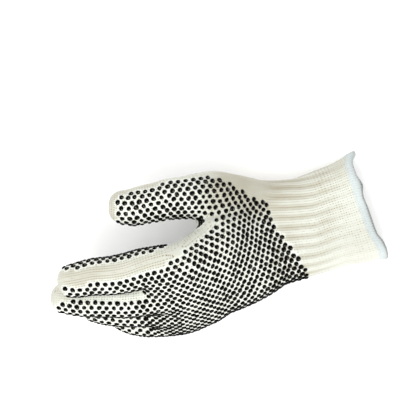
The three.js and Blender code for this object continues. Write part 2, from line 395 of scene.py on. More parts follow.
@dataclass
class GloveForm:
    """The outside of the soft glove as one distance, from its tubes.

    The fingers' fillet grows by root_fillet over the x span of roots. The thumb's fillet
    grows by heel_fillet and by web_fillet, each from the first to the second x of its
    span, and shrinks again from the third to the fourth.
    """

    tubes: dict[str, Tube]
    finger_fillet: float = 1.0
    root_fillet: float = 4.5
    roots: tuple[float, float] = (-66.0, -38.0)
    knuckle_fillet: float = 4.0
    thumb_fillet: float = 7.0
    heel_fillet: float = 12.0
    heel: tuple[float, ...] = (-18.0, 0.0, 10.0, 30.0)
    web_fillet: float = 8.0
    web: tuple[float, ...] = (-26.0, -18.0, -12.0, -4.0)
    floor_fillet: float = 1.5
    longest_step: float = 0.8
    least_slope: float = 0.15
    creases: list[Crease] = field(default_factory=list)

    def readings(self, points: np.ndarray) -> dict[str, tuple[np.ndarray, np.ndarray]]:
        """Each tube's distance and nearest sample at the points."""
        return {name: tube.distance(points) for name, tube in self.tubes.items()}

    def value(self, points: np.ndarray) -> np.ndarray:
        """Measures how far points are outside the glove's surface.

        Args:
            points: places in millimetres.

        Returns:
            The distances, negative inside.
        """
        gaps = {name: reading[0] for name, reading in self.readings(points).items()}
        fingers = gaps["index"]
        reach = self.finger_fillet + self.root_fillet * ramp(points[:, 0], *self.roots)
        for name in ("middle", "ring", "little"):
            fingers = blend_in(fingers, gaps[name], reach)
        hand = blend_in(fingers, gaps["palm"], self.knuckle_fillet)
        heel, web = (bump(points[:, 0], span) for span in (self.heel, self.web))
        base = self.thumb_fillet + self.heel_fillet * heel + self.web_fillet * web
        whole = blend_in(hand, gaps["thumb"], base)
        for crease in self.creases:
            whole = whole + crease.push(points)
        return -blend_in(-whole, points[:, 2], self.floor_fillet)

    def settle(self, points: np.ndarray, rounds: int = 4) -> np.ndarray:
        """Moves points onto the glove's surface.

        Args:
            points: places near the surface.
            rounds: how many steps to take.

        Returns:
            The moved points.
        """
        for _ in range(rounds):
            value = self.value(points)
            slope = self.slope(points)
            steep = np.maximum(np.einsum("ij,ij->i", slope, slope), self.least_slope)
            step = np.clip(value / steep, -self.longest_step, self.longest_step)
            points = points - slope * step[:, None]
        return points

    def slope(self, points: np.ndarray, step: float = 0.2) -> np.ndarray:
        """Finds the direction in which the distance grows.

        Args:
            points: places in millimetres.
            step: how far to each side the distance is read.

        Returns:
            A direction for each point, out of the glove.
        """
        sides = []
        for axis in range(3):
            shift = np.zeros(3)
            shift[axis] = step
            sides.append(self.value(points + shift) - self.value(points - shift))
        return np.stack(sides, 1) / (2 * step)


def cell_points(values: np.ndarray) -> tuple[np.ndarray, np.ndarray]:
    """Sets one point in each grid cell where the distances change sign.

    Args:
        values: the distances on the grid.

    Returns:
        The points in steps of the grid, and each cell's point number or -1.
    """
    corners = [(i, j, k) for i in (0, 1) for j in (0, 1) for k in (0, 1)]
    shape = tuple(n - 1 for n in values.shape)
    at = {c: values[c[0]:c[0] + shape[0], c[1]:c[1] + shape[1], c[2]:c[2] + shape[2]] for c in corners}
    inside = sum((at[c] < 0).astype(int) for c in corners)
    cells = np.nonzero((inside > 0) & (inside < 8))
    number = np.full(shape, -1)
    number[cells] = np.arange(len(cells[0]))
    total = np.zeros((len(cells[0]), 3))
    count = np.zeros(len(cells[0]))
    for a in corners:
        for axis in range(3):
            if a[axis]:
                continue
            b = tuple(a[k] + (k == axis) for k in range(3))
            va, vb = at[a][cells], at[b][cells]
            cut = (va < 0) != (vb < 0)
            t = np.where(cut, va / np.where(cut, va - vb, 1), 0)
            spot = np.array(a, float) + t[:, None] * (np.array(b) - np.array(a))
            total += np.where(cut[:, None], spot, 0)
            count += cut
    return np.stack(cells, 1) + total / count[:, None], number


def surface_net(values: np.ndarray, low: np.ndarray, cell: float) -> tuple[np.ndarray, np.ndarray]:
    """Draws the surface where a grid of distances changes sign.

    Args:
        values: the distances on the grid.
        low: the grid's lowest corner.
        cell: the grid's step.

    Returns:
        The points, and the quads with their faces out.
    """
    steps, number = cell_points(values)
    quads = []
    for axis in range(3):
        u, v = (axis + 1) % 3, (axis + 2) % 3
        first = np.take(values, range(values.shape[axis] - 1), axis) < 0
        second = np.take(values, range(1, values.shape[axis]), axis) < 0
        spots = np.stack(np.nonzero(first != second), 1)
        spots = spots[(spots[:, u] > 0) & (spots[:, v] > 0)]
        spots = spots[(spots[:, u] < values.shape[u] - 1) & (spots[:, v] < values.shape[v] - 1)]
        step_u, step_v = np.eye(3, dtype=int)[u], np.eye(3, dtype=int)[v]
        loop = [spots - step_u - step_v, spots - step_v, spots, spots - step_u]
        quad = np.stack([number[tuple(p.T)] for p in loop], 1)
        outward = first[tuple(spots.T)]
        quad[~outward] = quad[~outward][:, ::-1]
        quads.append(quad)
    return low + cell * steps, np.concatenate(quads)


def grid_faces(rows: int, around: int) -> np.ndarray:
    """Joins the rings of a tube with quads.

    Args:
        rows: how many rings there are.
        around: how many points each ring has.

    Returns:
        The quads, with their faces out when the rings run to the mouth.
    """
    r, k = np.meshgrid(np.arange(rows - 1), np.arange(around), indexing="ij")
    n = (k + 1) % around
    quad = np.stack([r * around + k, r * around + n, (r + 1) * around + n, (r + 1) * around + k], -1)
    return quad.reshape(-1, 4)


def mesh_object(name: str, points: np.ndarray, faces: list[list[int]]) -> bpy.types.Object:
    """Makes a smooth-shaded object from points in millimetres.

    Args:
        name: the piece's name.
        points: one point a row.
        faces: the point numbers of each face.

    Returns:
        The new object, linked into the scene.
    """
    mesh = bpy.data.meshes.new(name)
    mesh.from_pydata((points * METRES).tolist(), [], faces)
    mesh.polygons.foreach_set("use_smooth", np.ones(len(mesh.polygons), bool))
    mesh.update()
    piece = bpy.data.objects.new(name, mesh)
    bpy.context.scene.collection.objects.link(piece)
    return piece


def mesh_points(mesh: bpy.types.Mesh) -> np.ndarray:
    """Reads a mesh's points.

    Args:
        mesh: the mesh.

    Returns:
        The points in millimetres, one a row.
    """
    flat = np.zeros(3 * len(mesh.vertices))
    mesh.vertices.foreach_get("co", flat)
    return flat.reshape(-1, 3) / METRES


def set_map(mesh: bpy.types.Mesh, name: str, per_point: np.ndarray) -> None:
    """Stores one pair of coordinates a point as a map.

    Args:
        mesh: the mesh.
        name: the map's name: knit, in millimetres along and round the yarn's columns;
        rib, as a count of ribs and their strength; wear_and_shading, the holes and the
        darkness with its painted shade and light, as KnitWearAndShading gives them; or
        spot, the place on a dot's face in shares of its radius, turned towards its
        painted highlight.
        per_point: the pairs.
    """
    layer = mesh.uv_layers.new(name=name)
    loops = np.zeros(len(mesh.loops), int)
    mesh.loops.foreach_get("vertex_index", loops)
    layer.data.foreach_set("uv", per_point[loops].ravel())


def add_wall(piece: bpy.types.Object, thickness: float) -> None:
    """Gives an open surface the thickness of its knit, inwards.

    Args:
        piece: the surface.
        thickness: the knit's thickness, in millimetres.
    """
    wall = piece.modifiers.new("wall", "SOLIDIFY")
    wall.thickness = thickness * METRES
    wall.offset = -1.0
    wall.use_rim = True


@dataclass(frozen=True)
class Ribs:
    """The ribs round the wrist and the cuff, and the finer wales in them.

    Spans are places along the glove, in millimetres. The ribs turn round it by turn
    millimetres for each millimetre of length between turn_from and turn_end.
    """

    count: int = 26
    wales: int = 4
    wale_pitch: float = 1.8
    depth: float = 0.55
    sharpness: float = 1.2
    fade_in: tuple[float, float] = (24.0, 46.0)
    fade_out: tuple[float, float] = (56.0, 100.0)
    faded: float = 0.85
    turn: float = 0.27
    turn_from: float = 22.0
    turn_end: float = 70.0
    turn_soften: float = 6.0

    def strength(self, x: np.ndarray) -> np.ndarray:
        """How deep the ribs are at a place along the glove, 0 to 1."""
        return ramp(x, *self.fade_in) * (1 - self.faded * ramp(x, *self.fade_out))

    def wales_at(self, share: np.ndarray, x: np.ndarray) -> np.ndarray:
        """Counts wales from the glove's edge, on each face, to a place.

        Args:
            share: shares of the girth from the thumb-side edge over the back.
            x: the places along the glove.

        Returns:
            Wales, the same on both faces at the glove's edges.
        """
        short = np.clip(self.turn_end - x, 0, self.turn_end - self.turn_from)
        most = self.turn_end - self.turn_from
        turned = self.turn * (short**2 / (short + self.turn_soften) - most**2 / (most + self.turn_soften))
        return np.minimum(share, 1 - share) * self.count * self.wales + turned / self.wale_pitch

    def groove(self, wales: np.ndarray) -> np.ndarray:
        """How far the surface sits below a rib's crown, 0 to 1, at a count of wales."""
        return 1 - np.abs(np.sin(math.pi * wales / self.wales)) ** self.sharpness

    def share(self, palm: Tube, points: np.ndarray) -> np.ndarray:
        """Finds where points sit round the glove.

        Args:
            palm: the palm's tube.
            points: places in millimetres.

        Returns:
            Shares of the girth from the thumb-side edge over the back.
        """
        _, nearest = palm.distance(points)
        _, way, half, height = palm.local(points, nearest)
        part = way / (2 * half)
        return np.where(height >= 0, part, 1 - part)


@dataclass(frozen=True)
class KnitWearAndShading:
    """How open the knit's holes are, how dark its yarn is, and where shade and light are
    painted on it.

    Spans in x run along the glove and spans in y across it, in millimetres. Spans in
    fold are shares of the girth from the thumb-side edge. Amounts of holes and of darkness
    are added up. The darkness holds the yarn's own brownish tint, painted shade on the
    top of the wrist, painted shade with brownish yarn on the cuff's thumb-side edge, and a
    darker far edge of the cuff. Painted light is a negative darkness: it lightens the yarn
    between the dots and on the middle finger's strip.
    """

    holes: float = 1.7
    darkness: float = 0.25
    cuff_x: tuple[float, float] = (44.0, 66.0)
    cuff_holes: float = 0.4
    cuff_tan: float = 0.2
    far_fold: tuple[float, float] = (0.12, 0.4)
    far_holes: float = 0.9
    last_fold: tuple[float, float] = (0.28, 0.45)
    far_edge_dark: float = 0.22
    thumb_edge_fold: tuple[float, float] = (0.02, 0.25)
    thumb_edge_x: tuple[float, float] = (24.0, 44.0)
    thumb_edge_tan_and_shade: float = 0.2
    wrist_x: tuple[float, ...] = (-22.0, 4.0, 30.0, 48.0)
    wrist_y: tuple[float, float] = (14.0, 38.0)
    wrist_shade: float = 0.75
    clear_of_dots: tuple[float, float] = (2.4, 4.4)
    fingers_x: tuple[float, float] = (-56.0, -38.0)
    strip_holes: float = 3.4
    strip_tan: float = 0.3
    middle_holes: float = 2.2
    middle_painted_light: float = -0.95
    middle_tip_x: tuple[float, float] = (-110.0, -96.0)
    dots_holes: float = 0.5
    between_dots_light: float = 0.55
    thumb_root_x: tuple[float, float] = (-26.0, -6.0)
    thumb_root_y: tuple[float, float] = (8.0, 26.0)

    def plain(self, share: np.ndarray, points: np.ndarray) -> np.ndarray:
        """Reads how worn the knit is, and its painted shade, away from the dots.

        Args:
            share: shares of the girth from the thumb-side edge over the back.
            points: the places.

        Returns:
            Two columns, the holes and the darkness with its painted shade.
        """
        x, y = points[:, 0], points[:, 1]
        fold = np.minimum(share, 1 - share)
        cuff = ramp(x, *self.cuff_x)
        # Partly painted shade and partly brownish yarn on the cuff's thumb-side edge.
        thumb_edge = (1 - ramp(fold, *self.thumb_edge_fold)) * ramp(x, *self.thumb_edge_x)
        # Painted shade on the top of the wrist, beside the thumb's root.
        wrist = bump(x, self.wrist_x) * ramp(y, *self.wrist_y)
        # Darker towards the cuff's far edge.
        last = cuff * ramp(fold, *self.last_fold)
        holes = self.holes - cuff * (self.cuff_holes + self.far_holes * ramp(fold, *self.far_fold))
        darkness = self.darkness - self.cuff_tan * cuff + self.thumb_edge_tan_and_shade * thumb_edge
        return np.column_stack([holes, darkness + self.wrist_shade * wrist + self.far_edge_dark * last])

    def printed(
        self, wear_and_shading: np.ndarray, gap: np.ndarray, points: np.ndarray, is_middle: np.ndarray
    ) -> np.ndarray:
        """Opens the fingers' plain strips, and paints light on the yarn between the dots and on
        the middle finger's strip.

        Args:
            wear_and_shading: the two columns of plain().
            gap: each place's distance to the nearest dot's middle.
            points: the places.
            is_middle: which places are on the middle finger.

        Returns:
            The two columns with the dots' effect.
        """
        x, y = points[:, 0], points[:, 1]
        clear = ramp(gap, *self.clear_of_dots)
        strip = clear * (1 - ramp(x, *self.fingers_x))
        # Painted light on the middle finger's strip, which lies in the index finger's shade; it fades out
        # at the tip.
        middle_painted_light = self.middle_painted_light * ramp(x, *self.middle_tip_x)
        thumb_root = ramp(x, *self.thumb_root_x) * ramp(y, *self.thumb_root_y)
        holes = strip * np.where(is_middle, self.middle_holes, self.strip_holes)
        holes = holes - self.dots_holes * (1 - clear)
        darkness = strip * np.where(is_middle, middle_painted_light, self.strip_tan)
        # Painted light between the dots, lightening the yarn against their shade; the thumb's root is left
        # out and keeps its painted shade.
        darkness = darkness - self.between_dots_light * (1 - clear) * (1 - thumb_root)
        return wear_and_shading + np.column_stack([holes, darkness])


class Sockets:
    """Short calls for building a shader tree."""

    def __init__(self, tree: bpy.types.NodeTree) -> None:
        """Keeps the tree that the nodes go into."""
        self.tree = tree

    def node(
        self, kind: str, inputs: dict[str | int, object] | None = None, **settings: object
    ) -> bpy.types.Node:
        """Adds a node, and sets or links its inputs.

        Args:
            kind: the node's type name.
            inputs: each input by name or number, as a value or as a socket to link.
            settings: the node's own properties.

        Returns:
            The new node.
        """
        made = self.tree.nodes.new(kind)
        for key, value in settings.items():
            setattr(made, key, value)
        for key, value in (inputs or {}).items():
            self.feed(made.inputs[key], value)
        return made

    def feed(self, socket: bpy.types.NodeSocket, value: object) -> None:
        """Links a socket to another one, or sets it to a plain value.

        Args:
            socket: the socket to feed.
            value: another node's socket, or a value.
        """
        if isinstance(value, bpy.types.NodeSocket):
            self.tree.links.new(value, socket)
        else:
            socket.default_value = value

    def math(self, operation: str, *values: object) -> bpy.types.NodeSocket:
        """Adds a Math node on sockets or numbers and returns its result."""
        made = self.node("ShaderNodeMath", dict(enumerate(values)), operation=operation)
        return made.outputs[0]

    def mix_colour(self, factor: object, a: object, b: object) -> bpy.types.NodeSocket:
        """Mixes two colours.

        Args:
            factor: the share of the second colour.
            a: the first colour.
            b: the second colour.

        Returns:
            The mixed colour.
        """
        made = self.node("ShaderNodeMix", data_type="RGBA")
        for number, value in ((0, factor), (6, a), (7, b)):
            self.feed(made.inputs[number], value)
        return made.outputs[2]

    def read_map(self, name: str) -> bpy.types.NodeSocket:
        """Adds a node that reads one of the mesh's maps."""
        return self.node("ShaderNodeUVMap", uv_map=name).outputs[0]

    def effect(
        self, group: bpy.types.NodeTree, inputs: dict[str, object]
    ) -> dict[str, bpy.types.NodeSocket]:
        """Places a shared effect.

        Args:
            group: the effect's group.
            inputs: its own values or sockets, by name.

        Returns:
            The effect's results by name.
        """
        made = self.node("ShaderNodeGroup", node_tree=group)
        for name, value in inputs.items():
            self.feed(made.inputs[name], value)
        return {result.name: result for result in made.outputs}


def new_group(
    name: str, inputs: dict[str, tuple[str, object]], outputs: dict[str, str]
) -> tuple[Sockets, bpy.types.Node, bpy.types.Node]:
    """Starts a shader node group with named sockets.

    Args:
        name: the group's name.
        inputs: socket name to its type and default value.
        outputs: socket name to its type.

    Returns:
        The group's builder, its input node and its output node.
    """
    group = bpy.data.node_groups.new(name, "ShaderNodeTree")
    for label, (kind, default) in inputs.items():
        socket = group.interface.new_socket(name=label, in_out="INPUT", socket_type=kind)
        if default is not None:
            socket.default_value = default
    for label, kind in outputs.items():
        group.interface.new_socket(name=label, in_out="OUTPUT", socket_type=kind)
    build = Sockets(group)
    return build, build.node("NodeGroupInput"), build.node("NodeGroupOutput")


def knit_loops_group() -> bpy.types.NodeTree:
    """The knit's columns of loops, as a height and a mask of the small gaps.

    Each loop's legs lean towards the column's middle. The gaps sit in pairs beside the
    columns, and some of them are larger than others.

    Returns:
        The group.
    """
    lean, loop_depth, edge_line = 0.65, 0.2, 0.03
    hole_start, hole_full = 0.3, 0.7
    small_hole, large_hole = 0.35, 1.9
    s, start, end = new_group(
        "knit_loops",
        {
            "Knit": ("NodeSocketVector", None),
            "Wale": ("NodeSocketFloat", 1.8),
            "Course": ("NodeSocketFloat", 1.5),
        },
        {"Height": "NodeSocketFloat", "Gap": "NodeSocketFloat"},
    )
    parts = s.node("ShaderNodeSeparateXYZ", {0: start.outputs["Knit"]})
    column = s.math("DIVIDE", parts.outputs[1], start.outputs["Wale"])
    inside = s.math("SUBTRACT", s.math("FRACT", column), 0.5)
    off = s.math("MULTIPLY", s.math("ABSOLUTE", inside), 2.0)
    beside = s.math("POWER", off, 2.0)
    crown = s.math("SQRT", s.math("SUBTRACT", 1.02, beside))
    course = s.math("DIVIDE", parts.outputs[0], start.outputs["Course"])
    leg = s.math("MULTIPLY_ADD", off, lean, course)
    wave = s.math("COSINE", s.math("MULTIPLY", leg, 2 * math.pi))
    loop = s.math("MULTIPLY_ADD", wave, loop_depth, 1 - loop_depth)
    height = s.math("MULTIPLY", crown, loop)
    hole = s.math("MULTIPLY", beside, s.math("MULTIPLY_ADD", wave, -0.5, 0.5))
    spot = s.node("ShaderNodeMapRange", {0: hole, 1: hole_start, 2: hole_full})
    spot.interpolation_type = "SMOOTHSTEP"
    border = s.math("FLOOR", s.math("ADD", column, 0.5))
    cell = s.node("ShaderNodeCombineXYZ", {0: border, 1: s.math("FLOOR", leg)})
    luck = s.node("ShaderNodeTexWhiteNoise", {"Vector": cell.outputs[0]}, noise_dimensions="2D")
    size = s.node(
        "ShaderNodeMapRange", {0: luck.outputs["Value"], 1: 0.2, 2: 1.0, 3: small_hole, 4: large_hole}
    )
    spots = s.math("MULTIPLY", spot.outputs[0], size.outputs[0])
    s.feed(end.inputs["Height"], height)
    s.feed(end.inputs["Gap"], s.math("MULTIPLY_ADD", beside, edge_line, spots))
    return s.tree


def rib_shade_group() -> bpy.types.NodeTree:
    """Painted shade: a soft dark line in each groove between ribs, as a mask.

    Returns:
        The group.
    """
    sharpness = 1.6
    s, start, end = new_group(
        "rib_shade", {"Rib": ("NodeSocketVector", None)}, {"Groove": "NodeSocketFloat"}
    )
    parts = s.node("ShaderNodeSeparateXYZ", {0: start.outputs["Rib"]})
    wave = s.math("ABSOLUTE", s.math("SINE", s.math("MULTIPLY", parts.outputs[0], math.pi)))
    low = s.math("SUBTRACT", 1.0, s.math("POWER", wave, sharpness))
    s.feed(end.inputs["Groove"], s.math("MULTIPLY", low, parts.outputs[1]))
    return s.tree


def yarn_tone_group() -> bpy.types.NodeTree:
    """Soft patches of lighter and darker yarn, with fine lint, as two masks.

    Returns:
        The group.
    """
    s, start, end = new_group(
        "yarn_tone",
        {"Place": ("NodeSocketVector", None)},
        {"Patches": "NodeSocketFloat", "Lint": "NodeSocketFloat"},
    )
    for name, scale, detail in (("Patches", 45.0, 3.0), ("Lint", 1400.0, 2.0)):
        noise = s.node(
            "ShaderNodeTexNoise", {"Vector": start.outputs["Place"], "Scale": scale, "Detail": detail}
        )
        s.feed(end.inputs[name], noise.outputs["Fac"])
    return s.tree


def new_material(name: str) -> tuple[bpy.types.Material, Sockets, bpy.types.Node]:
    """Starts a material.

    Args:
        name: the material's name.

    Returns:
        The material, its builder and its shader.
    """
    material = bpy.data.materials.new(name)
    material.use_nodes = True
    return material, Sockets(material.node_tree), material.node_tree.nodes["Principled BSDF"]


@dataclass(frozen=True)
class KnitFinish:
    """Matte cotton yarn in knitted loops.

    Attributes:
        name: the material's name.
        light: the yarn's colour.
        dark: its colour in gaps, in the grooves' painted shade, and where the darkness map
        holds brownish yarn and painted shade.
        wale: the width of a column of loops, in millimetres.
        course: the length of a loop.
        relief: how far the loops stand out.
        gap_tone: how dark the gaps are.
        darkness_tone: how dark the darkness map makes the yarn, with its painted shade.
        groove_shade_tone: how dark the painted shade in the grooves is.
        patch_tone: how much the tone changes from patch to patch.
        even_tone: the tone of plain yarn.
        lint: the share of lint in the relief.
        painted_light_colour: the painted light's colour, which yarn with a negative
        darkness is pulled towards.
        uneven: how much darker the gaps are in dark patches, and their least darkness.
        roughness: the yarn's roughness.
        specular: its weak shine.
        sheen: the weight and the roughness of its fuzz.
    """

    name: str
    light: tuple[float, float, float, float]
    dark: tuple[float, float, float, float]
    wale: float
    course: float
    relief: float
    gap_tone: float = 0.72
    darkness_tone: float = 0.45
    groove_shade_tone: float = 0.4
    patch_tone: float = 0.45
    even_tone: float = -0.17
    lint: float = 0.25
    painted_light_colour: tuple[float, float, float, float] = (0.86, 0.88, 0.80, 1)
    uneven: tuple[float, float] = (1.6, 0.2)
    roughness: float = 0.92
    specular: float = 0.2
    sheen: tuple[float, float] = (0.25, 0.5)

    def build(self, groups: dict[str, bpy.types.NodeTree]) -> bpy.types.Material:
        """Makes the material.

        Args:
            groups: the shared effects by name.

        Returns:
            The material.
        """
        material, s, shader = new_material(self.name)
        shader.inputs["Roughness"].default_value = self.roughness
        shader.inputs["Specular IOR Level"].default_value = self.specular
        shader.inputs["Sheen Weight"].default_value = self.sheen[0]
        shader.inputs["Sheen Roughness"].default_value = self.sheen[1]
        knit = {"Knit": s.read_map("knit"), "Wale": self.wale, "Course": self.course}
        loops = s.effect(groups["knit_loops"], knit)
        place = s.node("ShaderNodeTexCoord").outputs["Object"]
        tone = s.effect(groups["yarn_tone"], {"Place": place})
        ribs = s.effect(groups["rib_shade"], {"Rib": s.read_map("rib")})
        wear_and_shading = s.node("ShaderNodeSeparateXYZ", {0: s.read_map("wear_and_shading")})
        holes, darkness = wear_and_shading.outputs[0], wear_and_shading.outputs[1]
        # The darkness map holds the yarn's brownish tint with painted shade; a negative darkness is painted
        # light.
        tint = s.math("MULTIPLY_ADD", darkness, self.darkness_tone, self.even_tone)
        patches = s.math("MULTIPLY_ADD", tone["Patches"], self.patch_tone, tint)
        uneven = s.math("MULTIPLY_ADD", tone["Patches"], *self.uneven)
        open_gap = s.math("MULTIPLY", loops["Gap"], holes)
        shown = s.math("MULTIPLY", s.math("MULTIPLY", open_gap, self.gap_tone), uneven)
        # Painted shade in the ribs' grooves, on top of the gaps and the patches.
        shade = s.math("MULTIPLY_ADD", ribs["Groove"], self.groove_shade_tone, s.math("ADD", shown, patches))
        held = s.node("ShaderNodeClamp", {0: shade})
        # Painted light: a negative darkness mixes the yarn towards painted_light_colour.
        painted_light_share = s.node("ShaderNodeClamp", {0: s.math("MULTIPLY", darkness, -1.0)})
        lit = s.mix_colour(painted_light_share.outputs[0], self.light, self.painted_light_colour)
        s.feed(shader.inputs["Base Color"], s.mix_colour(held.outputs[0], lit, self.dark))
        height = s.math("MULTIPLY_ADD", tone["Lint"], self.lint, loops["Height"])
        relief = s.node(
            "ShaderNodeBump", {"Height": height, "Distance": self.relief * METRES, "Strength": 1.0}
        )
        s.feed(shader.inputs["Normal"], relief.outputs[0])
        return material


@dataclass(frozen=True)
class DotFinish:
    """Soft black PVC, cured as small domes, with grey flecks and a painted highlight.

    Attributes:
        name: the material's name.
        deep: the black of the dots.
        faded: the black where it is cloudy.
        grey: the colour of flecks and of the painted highlight.
        index: the low index of refraction that keeps the dots dull.
        cloud_scale: the clouds' scale, for places in metres.
        fleck_scale: the flecks' scale.
        fleck: the noise values between which a fleck comes in.
        painted_glint_at: how far the painted highlight is from the dot's middle, in shares
            of its radius.
        painted_glint: the squared distances between which the painted highlight fades and is
            full.
        grain_scale: the fine grain's scale.
        grain: the height of the grain, in millimetres.
    """

    name: str = "pvc_dots"
    deep: tuple[float, float, float, float] = (0.0005, 0.0004, 0.0003, 1)
    faded: tuple[float, float, float, float] = (0.003, 0.0025, 0.002, 1)
    grey: tuple[float, float, float, float] = (0.12, 0.115, 0.105, 1)
    index: float = 1.08
    cloud_scale: float = 260.0
    fleck_scale: float = 620.0
    fleck: tuple[float, float] = (0.66, 0.76)
    painted_glint_at: float = 0.5
    painted_glint: tuple[float, float] = (0.09, 0.01)
    grain_scale: float = 1500.0
    grain: float = 0.2

    def build(self) -> bpy.types.Material:
        """Makes the material.

        Returns:
            The material.
        """
        material, s, shader = new_material(self.name)
        shader.inputs["IOR"].default_value = self.index
        place = s.node("ShaderNodeTexCoord").outputs["Object"]
        cloud = s.node("ShaderNodeTexNoise", {"Vector": place, "Scale": self.cloud_scale, "Detail": 3.0})
        black = s.mix_colour(cloud.outputs["Fac"], self.deep, self.faded)
        noise = s.node("ShaderNodeTexNoise", {"Vector": place, "Scale": self.fleck_scale, "Detail": 1.0})
        fleck = s.node("ShaderNodeMapRange", {0: noise.outputs["Fac"], 1: self.fleck[0], 2: self.fleck[1]})
        spot = s.node("ShaderNodeSeparateXYZ", {0: s.read_map("spot")})
        # Painted highlight: a grey spot on each dot's face, off its middle on the light's side.
        beyond = s.math("SUBTRACT", spot.outputs[0], self.painted_glint_at)
        apart = s.math("MULTIPLY_ADD", beyond, beyond, s.math("POWER", spot.outputs[1], 2.0))
        painted_glint = s.node("ShaderNodeMapRange", {0: apart, 1: self.painted_glint[0], 2: self.painted_glint[1]})
        either = s.math("MAXIMUM", fleck.outputs[0], painted_glint.outputs[0])
        s.feed(shader.inputs["Base Color"], s.mix_colour(either, black, self.grey))
        s.feed(shader.inputs["Roughness"], s.math("MULTIPLY_ADD", cloud.outputs["Fac"], 0.3, 0.3))
        grain = s.node("ShaderNodeTexNoise", {"Vector": place, "Scale": self.grain_scale}).outputs["Fac"]
        relief = s.node(
            "ShaderNodeBump", {"Height": grain, "Distance": self.grain * METRES, "Strength": 0.5}
        )
        s.feed(shader.inputs["Normal"], relief.outputs[0])
        return material


@dataclass
class GloveSkin:
    """The plain knit of hand, thumb and fingers, as one soft skin.

    Attributes:
        form: the glove's outside.
        ribs: the ribs at the wrist.
        wear_and_shading: how worn the knit is, with the shade and light painted on it.
        low: the lowest corner of the grid that the skin is drawn on, in millimetres.
        high: the grid's highest corner.
        cell: the grid's step.
        wall: the knit's thickness.
        wrist_place: where the skin ends.
        dip: how far it dips under the cuff.
        dip_length: the length over which it dips.
        blend: how softly the maps of two tubes blend.
        palm_left_out: how much of the palm's map is left out on the fingers.
        palm_x: where it fades out.
        thumb_x: where the thumb's map fades out.
        wide_step: the step that the surface's directions are read over.
        piece: the skin, once it is built.
    """

    form: GloveForm
    ribs: Ribs
    wear_and_shading: KnitWearAndShading
    low: tuple[float, float, float] = (-127.0, -72.0, -2.8)
    high: tuple[float, float, float] = (66.0, 58.0, 84.0)
    cell: float = 1.4
    wall: float = 2.0
    wrist_place: tuple[float, float, float] = (54.0, 12.0, 14.8)
    dip: float = 0.8
    dip_length: float = 3.5
    blend: float = 1.2
    palm_left_out: float = 0.98
    palm_x: tuple[float, float] = (-46.0, -30.0)
    thumb_x: tuple[float, float] = (8.0, 34.0)
    wide_step: float = 0.8
    piece: bpy.types.Object | None = None

    def wrist_sample(self) -> int:
        """The palm tube's sample at the wrist."""
        place = np.array(self.wrist_place) + ORIGIN_SHIFT
        return int(np.argmin(np.linalg.norm(self.form.tubes["palm"].centre - place, axis=1)))

    def grid(self) -> tuple[np.ndarray, np.ndarray]:
        """Measures the form on a grid round the hand.

        Returns:
            The distances, and the grid's lowest corner.
        """
        low = np.array(self.low)
        counts = np.ceil((np.array(self.high) - low) / self.cell).astype(int)
        axes = [low[k] + self.cell * np.arange(counts[k]) for k in range(3)]
        values = np.empty(tuple(counts))
        spread = np.stack(np.meshgrid(axes[1], axes[2], indexing="ij"), -1).reshape(-1, 2)
        for i, x in enumerate(axes[0]):
            points = np.column_stack([np.full(len(spread), x), spread])
            values[i] = self.form.value(points).reshape(counts[1], counts[2])
        return values, low

    def build(self) -> bpy.types.Object:
        """Builds the skin, cuts it at the wrist and maps its knit.

        Returns:
            The skin, open at the wrist.
        """
        values, low = self.grid()
        points, quads = surface_net(values, low, self.cell)
        points = self.form.settle(points)
        self.piece = mesh_object("knit_skin", points, quads.tolist())
        self.cut_wrist()
        mesh = self.piece.data
        points = mesh_points(mesh)
        share = self.ribs.share(self.form.tubes["palm"], points)
        strength = self.ribs.strength(points[:, 0])
        wales = self.ribs.wales_at(share, points[:, 0])
        set_map(mesh, "knit", self.knit_map(points, wales))
        set_map(mesh, "rib", np.column_stack([wales / self.ribs.wales, strength]))
        near = np.nonzero(strength > 0)[0]
        normal = unit(self.form.slope(points[near], self.wide_step))
        sink = (self.ribs.depth * strength * self.ribs.groove(wales))[near, None]
        points[near] -= normal * (sink + self.tucked(points[near])[:, None])
        mesh.vertices.foreach_set("co", (points * METRES).ravel())
        add_wall(self.piece, self.wall)
        return self.piece

    def tucked(self, points: np.ndarray) -> np.ndarray:
        """Says how far the skin dips under the cuff, over its last few millimetres.

        Args:
            points: the skin's points.

        Returns:
            A depth for each point, in millimetres.
        """
        palm = self.form.tubes["palm"]
        j = self.wrist_sample()
        inside = (points - palm.centre[j]) @ palm.toward[j]
        return self.dip * (1 - ramp(inside, 0.0, self.dip_length))

    def mark_wear_and_shading(self, dots: np.ndarray) -> None:
        """Marks where the knit is open or brownish, and where shade and light are painted on it,
        once the dots are printed.

        Args:
            dots: the places of all dots, in millimetres.
        """
        mesh = self.piece.data
        points = mesh_points(mesh)
        tree = KDTree(len(dots))
        for number, place in enumerate(dots):
            tree.insert(place, number)
        tree.balance()
        gap = np.array([tree.find(point)[2] for point in points])
        readings = self.form.readings(points)
        own = np.argmin([reading[0] for reading in readings.values()], axis=0)
        is_middle = own == list(readings).index("middle")
        plain = self.wear_and_shading.plain(self.ribs.share(self.form.tubes["palm"], points), points)
        set_map(mesh, "wear_and_shading", self.wear_and_shading.printed(plain, gap, points, is_middle))

    def cut_wrist(self) -> None:
        """Opens the skin at the wrist."""
        palm = self.form.tubes["palm"]
        j = self.wrist_sample()
        edit = bmesh.new()
        edit.from_mesh(self.piece.data)
        bmesh.ops.bisect_plane(
            edit,
            geom=edit.verts[:] + edit.edges[:] + edit.faces[:],
            plane_co=Vector(palm.centre[j] * METRES),
            plane_no=Vector(-palm.toward[j]),
            clear_outer=True,
        )
        edit.to_mesh(self.piece.data)
        edit.free()

